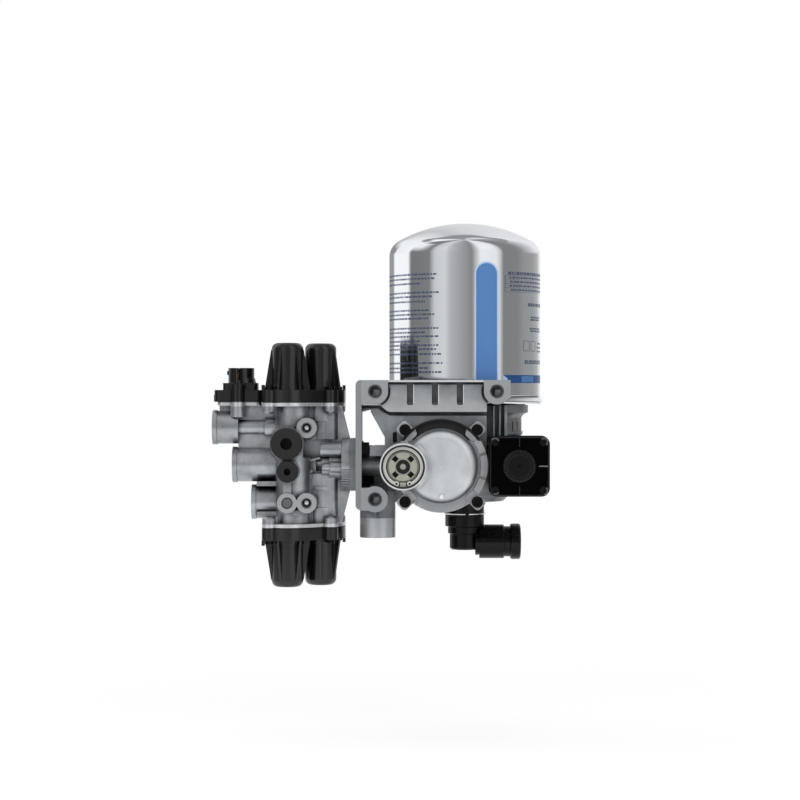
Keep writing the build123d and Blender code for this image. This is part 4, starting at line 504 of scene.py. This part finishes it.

# The rim over its crescent recess is painted dark as shade, like the recess under it: a ring between
# two radii from the dome's axis, and only above the crescent's lower end
rim_middle_r = 0.0399
rim_reach = 0.0014
crescent_low_z = -0.0430
in_ring = add(die_cast, "ShaderNodeMath", {0: dome_radius, 1: rim_middle_r, 2: rim_reach},
              operation="COMPARE")
above = add(die_cast, "ShaderNodeMath", {0: along["Z"], 1: crescent_low_z}, operation="GREATER_THAN")
painted_rim_shade = add(die_cast, "ShaderNodeMath", {0: in_ring.outputs["Value"], 1: above.outputs["Value"]},
             operation="MULTIPLY")
surface(die_cast, add(die_cast, "ShaderNodeMix", {
    0: painted_rim_shade.outputs["Value"], 6: cast_tone.outputs[2], 7: linear("#2a2c2f")},
    data_type="RGBA").outputs[2])


# A small rounded pip of the same casting stands on the dome's lower edge, where the die's gate was
# trimmed; its near-white finish is a painted highlight. It is a quarter circle (t, r) = R (1 - cos s, sin s)
# turned round its axis. It has no teeth, so its pitch has no effect.
pip_r = 0.0022
pip_place = (dome_x, -0.0256, -0.0906)
s = np.linspace(0, pi / 2, 10)
pip_profile = np.stack([pip_r * (1 - np.cos(s)), axis_gap + pip_r * np.sin(s), 0 * s], axis=1)
bored("dome_pip", pip_place, (0, 1, 0), (1, 0, 0), pip_profile, pitch=0.001, material=painted_highlight_metal,
      ends="capped")


# Black-oxided steel screws with a hexagon socket hold the cover, the spring covers and the sensor, and
# studs and nuts of the same finish hold the valve to the dryer.
def turned_steel(name, colour, roughness, mark_mm):
    """Machined steel with a thin finish: even gloss broken by tool marks, and crisp small edges. Real
    marks are too fine to show, so they are drawn coarser, mark_mm apart."""
    material = finish(name, colour, roughness, metallic=1.0)
    place = add(material, "ShaderNodeTexCoord").outputs["Object"]
    marks = add(material, "ShaderNodeTexNoise", {"Vector": place, "Scale": 1000 / mark_mm, "Detail": 3.0})
    rough = add(material, "ShaderNodeMapRange", {
        "Value": marks.outputs["Fac"], "To Min": roughness - 0.08, "To Max": roughness + 0.12})
    edge = add(material, "ShaderNodeBevel", {"Radius": 0.0003}, samples=4)
    bump = add(material, "ShaderNodeBump", {
        "Height": marks.outputs["Fac"], "Normal": edge.outputs["Normal"], "Strength": 0.1,
        "Distance": 0.0001})
    surface(material, roughness=rough.outputs["Result"], normal=bump.outputs["Normal"])
    return material


black_oxide = turned_steel("black_oxide_steel", "#202021", 0.32, mark_mm=1.2)
for part in ("cover_screws", "upper_cover_screws", "lower_cover_screws", "sensor_screw", "joint_studs",
             "joint_nuts"):
    wear(part, black_oxide)


# The valve in the round port: an open ring of passivated spring steel holds a beige moulded cage, in
# which a grey stem slides through a rubber bush. The cage's outer step behind the ring is painted near
# black as shade where it shows in the ring's gap.
def moulded_plastic(name, colour, roughness, gloss, grain_mm=0.9):
    """Injection-moulded plastic with the fine eroded grain of its tool and slightly rounded edges. The
    real grain of about 0.1 mm is too fine to show, so it is drawn coarser, at grain_mm."""
    material = finish(name, colour, roughness, Specular_IOR_Level=gloss)
    place = add(material, "ShaderNodeTexCoord").outputs["Object"]
    grain = add(material, "ShaderNodeTexNoise", {"Vector": place, "Scale": 1000 / grain_mm, "Detail": 2.0})
    rough = add(material, "ShaderNodeMapRange", {
        "Value": grain.outputs["Fac"], "To Min": roughness - 0.08, "To Max": roughness + 0.08})
    edge = add(material, "ShaderNodeBevel", {"Radius": 0.0005}, samples=4)
    bump = add(material, "ShaderNodeBump", {
        "Height": grain.outputs["Fac"], "Normal": edge.outputs["Normal"], "Strength": 0.12,
        "Distance": 0.0001})
    surface(material, roughness=rough.outputs["Result"], normal=bump.outputs["Normal"])
    return material


# The ring's pale passivation hides the shine of its steel, so its finish is a dull one like a plastic's
wear("port_retaining_ring", moulded_plastic("pale_passivated_steel", "#c8c9c2", 0.4, gloss=0.5, grain_mm=1.0))
wear("port_valve_stem", moulded_plastic("grey_acetal", "#8b8b86", 0.42, gloss=0.4))
port_x, port_z = -0.0288, -0.0646
cage_face_r = 0.0139
cage_face_y = -0.0355
acetal_tone = "#9c9c91"
beige_acetal = moulded_plastic("beige_acetal", acetal_tone, 0.42, gloss=0.4)
place = add(beige_acetal, "ShaderNodeTexCoord").outputs["Object"]
along = add(beige_acetal, "ShaderNodeSeparateXYZ", {"Vector": place}).outputs
outside = add(beige_acetal, "ShaderNodeMath", {
    0: from_axis(beige_acetal, place, (port_x, 0.0, port_z)), 1: cage_face_r}, operation="GREATER_THAN")
sunk = add(beige_acetal, "ShaderNodeMath", {0: along["Y"], 1: cage_face_y}, operation="GREATER_THAN")
painted_step_shade = add(beige_acetal, "ShaderNodeMath", {0: outside.outputs["Value"], 1: sunk.outputs["Value"]},
              operation="MULTIPLY")
surface(beige_acetal, add(beige_acetal, "ShaderNodeMix", {
    0: painted_step_shade.outputs["Value"], 6: linear(acetal_tone), 7: linear("#141413")},
    data_type="RGBA").outputs[2])
wear("port_valve_cage", beige_acetal)


# The springs of the port's valve, the governor, the drain and the four pistons are wound from drawn
# steel wire, left bare.
spring_wire = turned_steel("spring_steel_wire", "#7d7e80", 0.36, mark_mm=0.8)
for coil in ("port_valve_spring", "governor_spring", "drain_spring", "upper_left_spring",
             "upper_right_spring", "lower_left_spring", "lower_right_spring"):
    wear(coil, spring_wire)


# The governor's square cover is moulded in glossy black nylon, with a raised rim and ribs. Four screws
# hold it, and a matt round knob in its middle sets the pressure.
wear("governor_cover", moulded_plastic("deep_black_nylon", "#020202", 0.2, gloss=0.05))
wear("governor_knob", moulded_plastic("matt_black_nylon", "#0b0b0b", 0.42, gloss=0.12))
wear("governor_screws", turned_steel("blackened_screw_steel", "#232324", 0.3, mark_mm=1.2))
low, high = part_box("governor_knob")
knob_x, knob_z, knob_face = (low.x + high.x) / 2, (low.z + high.z) / 2, low.y

# The knob has a ring of 36 fine moulded teeth in its face, round a plain middle: the height of the ring
# is a bell over the radius times the square of sin(18 a)
tooth_height = 0.0010
teeth_inner_r, teeth_outer_r = 0.0093, 0.0136
teeth_r = np.linspace(teeth_inner_r, teeth_outer_r, 14)
teeth_a = np.linspace(0, 2 * pi, 480, endpoint=False)
bell = np.sin(np.linspace(0, pi, 14))[:, None] ** 0.6
tooth_root_y = knob_face + 0.0001
ring_back_y = knob_face + 0.0003
teeth_y = tooth_root_y - tooth_height * bell * np.sin(18 * teeth_a) ** 2
ring_r = np.concatenate([teeth_r, teeth_r[::-1]])[:, None]
ring_y = np.concatenate([teeth_y, np.full_like(teeth_y, ring_back_y)])
ring_points = np.stack([knob_x + ring_r * np.cos(teeth_a), ring_y, knob_z + ring_r * np.sin(teeth_a)],
                       axis=-1)
skin("knob_teeth", ring_points[None], moulded_plastic("toothed_black_nylon", "#0d0d0d", 0.3, gloss=0.4),
     ends="joined")

# Rounded beads on the cover: along its rim, part of the way round the four screws and on the three
# ridges. They catch the light on an otherwise black face, and the arcs round the screws and the right
# ridge are painted lighter grey as highlights
low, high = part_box("governor_cover")
cover_face = low.y
half_side = (high.x - low.x) / 2


def bead(name, path, radius, material, ends="capped"):
    """A round bead along a path of (x, z) points on the cover's face: at each point the section is
    path + radius * (side * cos t, depth * sin t), with the side square to the path."""
    x, z = np.asarray(path, float).T
    run = (np.roll([x, z], -1, axis=1) - np.roll([x, z], 1, axis=1) if ends == "joined"
           else np.gradient(np.array([x, z]), axis=1))
    side = np.stack([-run[1], run[0]]) / np.hypot(*run)
    t = np.linspace(0, 2 * pi, 12, endpoint=False)
    points = np.stack([x[:, None] + radius * side[0][:, None] * np.cos(t),
                       cover_face + radius * np.sin(t) + 0 * x[:, None],
                       z[:, None] + radius * side[1][:, None] * np.cos(t)], axis=-1)
    return skin(name, points[None], material, ends)


gloss_nylon = moulded_plastic("gloss_black_nylon", "#0a0a0a", 0.2, gloss=0.35)
glint_painted_nylon = moulded_plastic("black_nylon_painted_glint", "#4c4c4c", 0.3, gloss=0.5)
highlight_painted_nylon = moulded_plastic("black_nylon_painted_highlight", "#5a5a5a", 0.3, gloss=0.6)
bead_r = 0.0007
corner_r = 0.0065
rim_inset = 0.0014
corner_reach = half_side - rim_inset - corner_r
screw_reach = 0.021
screw_arc_r = 0.0032
ridge_start = 0.0166
ridge_end = half_side - 0.0016
rim_path = np.concatenate([
    arc((knob_x + i * corner_reach, knob_z + j * corner_reach), corner_r, start, start + 90, 10)
    for i, j, start in ((1, 1, 0), (-1, 1, 90), (-1, -1, 180), (1, -1, 270))])
bead("governor_rim_bead", rim_path, bead_r, gloss_nylon, ends="joined")
for corner, i, j, start, end in (("a", 1, 1, -50, 130), ("b", -1, 1, 20, 150), ("c", -1, -1, 250, 330),
                                 ("d", 1, -1, -80, 50)):
    screw = (knob_x + i * screw_reach, knob_z + j * screw_reach)
    bead(f"governor_screw_bead_{corner}", arc(screw, screw_arc_r, start, end, 24), 0.0008, glint_painted_nylon)
ridge = np.linspace(ridge_start, ridge_end, 6)[:, None]
for name, turn, look in (("right", 0, highlight_painted_nylon), ("upper", 90, gloss_nylon),
                         ("lower", 270, gloss_nylon)):
    way = np.array([np.cos(np.radians(turn)), np.sin(np.radians(turn))])
    bead(f"governor_{name}_bead", (knob_x, knob_z) + ridge * way, bead_r, look)


# The pistons of the governor, the drain and the protection valve, and the sensor's contacts, are turned
# from brass and left bare.
turned_brass = turned_steel("turned_brass", "#b39a5c", 0.3, mark_mm=1.0)
for part in ("governor_piston", "drain_piston", "upper_left_piston", "upper_right_piston",
             "lower_left_piston", "lower_right_piston", "sensor_contacts"):
    wear(part, turned_brass)


# The exhaust: a moulded nylon socket plugged into the housing's foot, and an elbow that a zinc-plated
# wire clip holds in it. The elbow's branch ends in a rounded nut, and all three are smooth and deep black.
smooth_nylon = moulded_plastic("smooth_black_nylon", "#040404", 0.19, gloss=0.23)
for part in ("drain_socket", "exhaust_elbow", "elbow_nut"):
    wear(part, smooth_nylon)
wear("elbow_clip", turned_steel("zinc_plated_steel", "#e4e4e2", 0.3, mark_mm=1.2))


# The protection valve's body is an aluminium die casting with milled faces and bright flange edges. Its
# three air ports are tapped, and its front bosses are closed with pressed-in steel balls and a plug.
valve_faces = ("Y", 0.0, flat_reach, "#b4b6b8")
upper_flange = ("Z", -0.01145, 0.0017, "#d6d8da")
lower_flange = ("Z", -0.11775, 0.0017, "#d6d8da")
wear("valve_body", cast_aluminium(
    "die_cast_valve_body", "#8d9094", "#b6b9bd", [valve_faces, upper_flange, lower_flange], grit_mm=0.7,
    roughness=0.29, metallic=0.93, corner_shade=1.0, corner_mm=6))
port_y = 0.035
port_mouth = 0.0003
port_thread = tapped(length=0.0148, outer_r=0.0102, end_r=0.0102, pitch=thread_pitch, floor=0)
for name, end_x, z in (("upper_port_thread", -0.1973, -0.0316), ("middle_port_thread", -0.1796, -0.0646),
                       ("lower_port_thread", -0.1627, -0.0976)):
    bored(name, (end_x + port_mouth, port_y, z), (1, 0, 0), (0, 1, 0), port_thread, thread_pitch,
          oiled_aluminium)
wear("channel_balls", turned_steel("polished_steel", "#d9dbdd", 0.16, mark_mm=1.2))
wear("blind_plug", turned_steel("dull_steel", "#6d6e70", 0.45, mark_mm=1.2))


# Spring covers, one above and one below, and the pressure sensor: glass-filled nylon mouldings, near
# black with a soft sheen. Each cover has two barrels over the springs and is held by four screws.
glass_filled_nylon = moulded_plastic("glass_filled_nylon", "#0a0908", 0.2, gloss=0.6, grain_mm=0.7)
for part in ("upper_spring_cover", "lower_spring_cover", "pressure_sensor"):
    wear(part, glass_filled_nylon)


# Plugs of moulded rubber close two ports in front. They are pressed in, and each has a hollow in its
# face.
plug_rubber = rubber("plug_rubber", "#1a1817", grain_mm=2.0)
wear("large_port_plug", plug_rubber)
wear("small_port_plug", plug_rubber)


# The supply tube at the lower left is part of the housing's casting, bored and tapped from below for the
# compressor's line.
tube_mouth = (-0.0512, 0.040, -0.1291)
tube_thread = tapped(length=0.020, outer_r=0.0114, end_r=0.0114, pitch=thread_pitch, floor=0)
bored("supply_tube_thread", tube_mouth, (0, 0, 1), (1, 0, 0), tube_thread, thread_pitch, oiled_aluminium)


# The studio: a pale painted floor well below the unit, a white surround and four large soft lamps. Far
# from the unit the floor turns white to the camera. None of it is on the object.
def staged(name, mesh, material):
    """Puts a mesh into the studio as something that isn't part of the object."""
    mesh.materials.append(material)
    made = bpy.data.objects.new(name, mesh)
    bpy.context.scene.collection.objects.link(made)
    return made


floor_z = -0.30
floor_half = 6
white = (1.0, 1.0, 1.0, 1.0)
floor_paint = finish("pale_floor_paint", "#f4f4f4", 0.8)
floor_place = add(floor_paint, "ShaderNodeTexCoord").outputs["Object"]
floor_reach = add(floor_paint, "ShaderNodeVectorMath", {0: floor_place}, operation="LENGTH")
floor_far = add(floor_paint, "ShaderNodeMapRange", {
    "Value": floor_reach.outputs["Value"], "From Min": 0.3, "From Max": 0.7, "To Min": 0.8, "To Max": 1.0})
seen_floor = add(floor_paint, "ShaderNodeLightPath")
floor_white = add(floor_paint, "ShaderNodeMath", {
    0: floor_far.outputs["Result"], 1: seen_floor.outputs["Is Camera Ray"]}, operation="MULTIPLY")
floor_glow = add(floor_paint, "ShaderNodeEmission", {"Color": white, "Strength": 1.0})
floor_mix = add(floor_paint, "ShaderNodeMixShader", {
    0: floor_white.outputs["Value"], 1: floor_paint.node_tree.nodes["Principled BSDF"].outputs["BSDF"],
    2: floor_glow.outputs["Emission"]})
floor_paint.node_tree.links.new(
    floor_mix.outputs["Shader"], floor_paint.node_tree.nodes["Material Output"].inputs["Surface"])
floor_mesh = bpy.data.meshes.new("floor")
floor_mesh.from_pydata([(i * floor_half, j * floor_half, floor_z)
                        for i, j in ((-1, -1), (1, -1), (1, 1), (-1, 1))], [], [(0, 1, 2, 3)])
staged("floor", floor_mesh, floor_paint)


# A dome of grey paper cards, which only mirrors see, gives the bright metal its bands. It stands round the
# can, and each bearing from the front in degrees, positive to the right, has its grey. Behind the object
# it opens to a pale ceiling above a dark edge. One low card is nearly black and one high card is bright.
dome_r = 1.7
card_bearings, card_greys = np.array([
    (-180, 0.34), (-140, 0.34), (-134, 1.07), (-96, 1.07), (-90, 0.20), (-56, 0.23), (-47, 0.66),
    (-31, 0.72), (-23, 0.50), (-7, 0.38), (2, 0.32), (9, 0.26), (16, 0.60), (22, 0.95), (46, 0.90),
    (52, 0.70), (58, 0.24), (84, 0.25), (98, 0.32), (122, 0.36), (142, 0.50), (158, 0.95), (180, 0.34)]).T


def ramp(value, low, high):
    """Rises straight from 0 at low to 1 at high."""
    return np.clip((value - low) / (high - low), 0, 1)


elevation, bearing = np.meshgrid(np.concatenate([[-9, 0, 1.85, 2.15], np.linspace(4, 89.9, 80)]),
                                 np.linspace(-180, 180, 361), indexing="ij")
behind = np.interp(bearing, [-115, -95, 95, 145], [1.0, 0.0, 0.0, 1.0])
ceiling = behind * ramp(elevation, 9, 14) * (1 - ramp(elevation, 54, 56))
ceiling_low = np.interp(bearing, [-180, -172, -160, -136, -130, 150, 180],
                        [0.74, 0.55, 0.30, 0.30, 1.0, 0.92, 0.74])
ceiling_high = np.interp(bearing, [-180, -172, -160, -130, 150, 180], [0.74, 0.62, 0.95, 1.0, 0.92, 0.74])
ceiling_grey = ceiling_low + (ceiling_high - ceiling_low) * ramp(elevation, 20, 32)
dark_edge = behind * ramp(elevation, 54, 56) * (1 - ramp(elevation, 62, 67))
low_card = (np.abs(bearing + 100) < 17) * (elevation < 2.0)
high_card = (ramp(bearing, -140, -120) * (1 - ramp(bearing, -78, -58)) * ramp(elevation, 14, 36)
             * (1 - ramp(elevation, 52, 58)))
grey = np.interp(bearing, card_bearings, card_greys) * (1 - ceiling - dark_edge)
grey = (grey + ceiling_grey * ceiling + 0.3 * dark_edge) * (1 - low_card) + 0.02 * low_card
grey = grey + high_card * np.maximum(0.98 - grey, 0)

# Its points lie on a ball: (x + R cos e sin b, y - R cos e cos b, R sin e)
flat_r = dome_r * np.cos(np.radians(elevation))
card_points = np.stack([can_x + flat_r * np.sin(np.radians(bearing)),
                        can_y - flat_r * np.cos(np.radians(bearing)),
                        dome_r * np.sin(np.radians(elevation))], axis=-1)
rows, columns = grey.shape
row, column = np.meshgrid(np.arange(rows - 1), np.arange(columns - 1), indexing="ij")
first = row * columns + column
card_faces = np.stack([first, first + 1, first + 1 + columns, first + columns], axis=-1)
card_mesh = bpy.data.meshes.new("grey_cards")
card_mesh.from_pydata(card_points.reshape(-1, 3).tolist(), [], card_faces.reshape(-1, 4).tolist())
card_mesh.attributes.new("grey", "FLOAT", "POINT").data.foreach_set("value", grey.ravel())
card_paper = bpy.data.materials.new("card_paper")
card_paper.use_nodes = True
card_paper.node_tree.nodes.clear()
card_grey = add(card_paper, "ShaderNodeAttribute", attribute_name="grey")
card_glow = add(card_paper, "ShaderNodeEmission", {"Color": white, "Strength": card_grey.outputs["Fac"]})
add(card_paper, "ShaderNodeOutputMaterial", {"Surface": card_glow.outputs["Emission"]})
cards = staged("grey_cards", card_mesh, card_paper)
cards.visible_camera = False
cards.visible_diffuse = False
cards.visible_shadow = False
cards.visible_transmission = False


# The camera stands level, two metres in front of the unit and a little left of its middle, where a
# distance of 2300 pixels behind an 800-pixel frame gives the photograph's view.
frame_px = 800
camera_data = bpy.data.cameras.new("camera")
camera_data.sensor_width = 36.0
camera_data.lens = camera_data.sensor_width * 2300 / frame_px
camera_data.shift_y = -5 / frame_px
camera_data.clip_end = 50.0
camera = bpy.data.objects.new("camera", camera_data)
camera.location = (-0.0314, -2.006, -0.00305)
camera.rotation_euler = (radians(90), 0, 0)
bpy.context.scene.collection.objects.link(camera)
bpy.context.scene.camera = camera


# Four soft lamps light the object, each turned towards the origin: place and size in metres, power in
# watts.
for name, spot, width, height, power in (
        ("key_lamp", (0.90, -1.07, 1.32), 0.9, 1.1, 14), ("left_lamp", (-1.55, 0.56, 1.15), 0.9, 1.3, 10),
        ("front_lamp", (-0.9, -1.6, 1.0), 1.2, 1.2, 14), ("top_lamp", (0.0, 0.3, 1.8), 1.4, 1.0, 12)):
    lamp_data = bpy.data.lights.new(name, "AREA")
    lamp_data.shape = "RECTANGLE"
    lamp_data.size, lamp_data.size_y = width, height
    lamp_data.energy = power
    lamp = bpy.data.objects.new(name, lamp_data)
    lamp.location = spot
    lamp.rotation_euler = Vector([-part for part in spot]).to_track_quat("-Z", "Y").to_euler()
    bpy.context.scene.collection.objects.link(lamp)


# The white surround is full white where the camera, a mirror or a clear piece sees it, and gives a
# softer light to all else.
world = bpy.data.worlds.new("studio_surround")
bpy.context.scene.world = world
world.use_nodes = True
rays = add(world, "ShaderNodeLightPath")
seen = add(world, "ShaderNodeMath", {
    0: rays.outputs["Is Camera Ray"], 1: rays.outputs["Is Glossy Ray"]}, operation="MAXIMUM")
through = add(world, "ShaderNodeMath", {
    0: seen.outputs["Value"], 1: rays.outputs["Is Transmission Ray"]}, operation="MAXIMUM")
strength = add(world, "ShaderNodeMapRange", {
    "Value": through.outputs["Value"], "To Min": 0.45, "To Max": 1.0})
background = world.node_tree.nodes["Background"]
background.inputs["Color"].default_value = white
world.node_tree.links.new(strength.outputs["Result"], background.inputs["Strength"])

bpy.context.scene.view_settings.view_transform = "Standard"
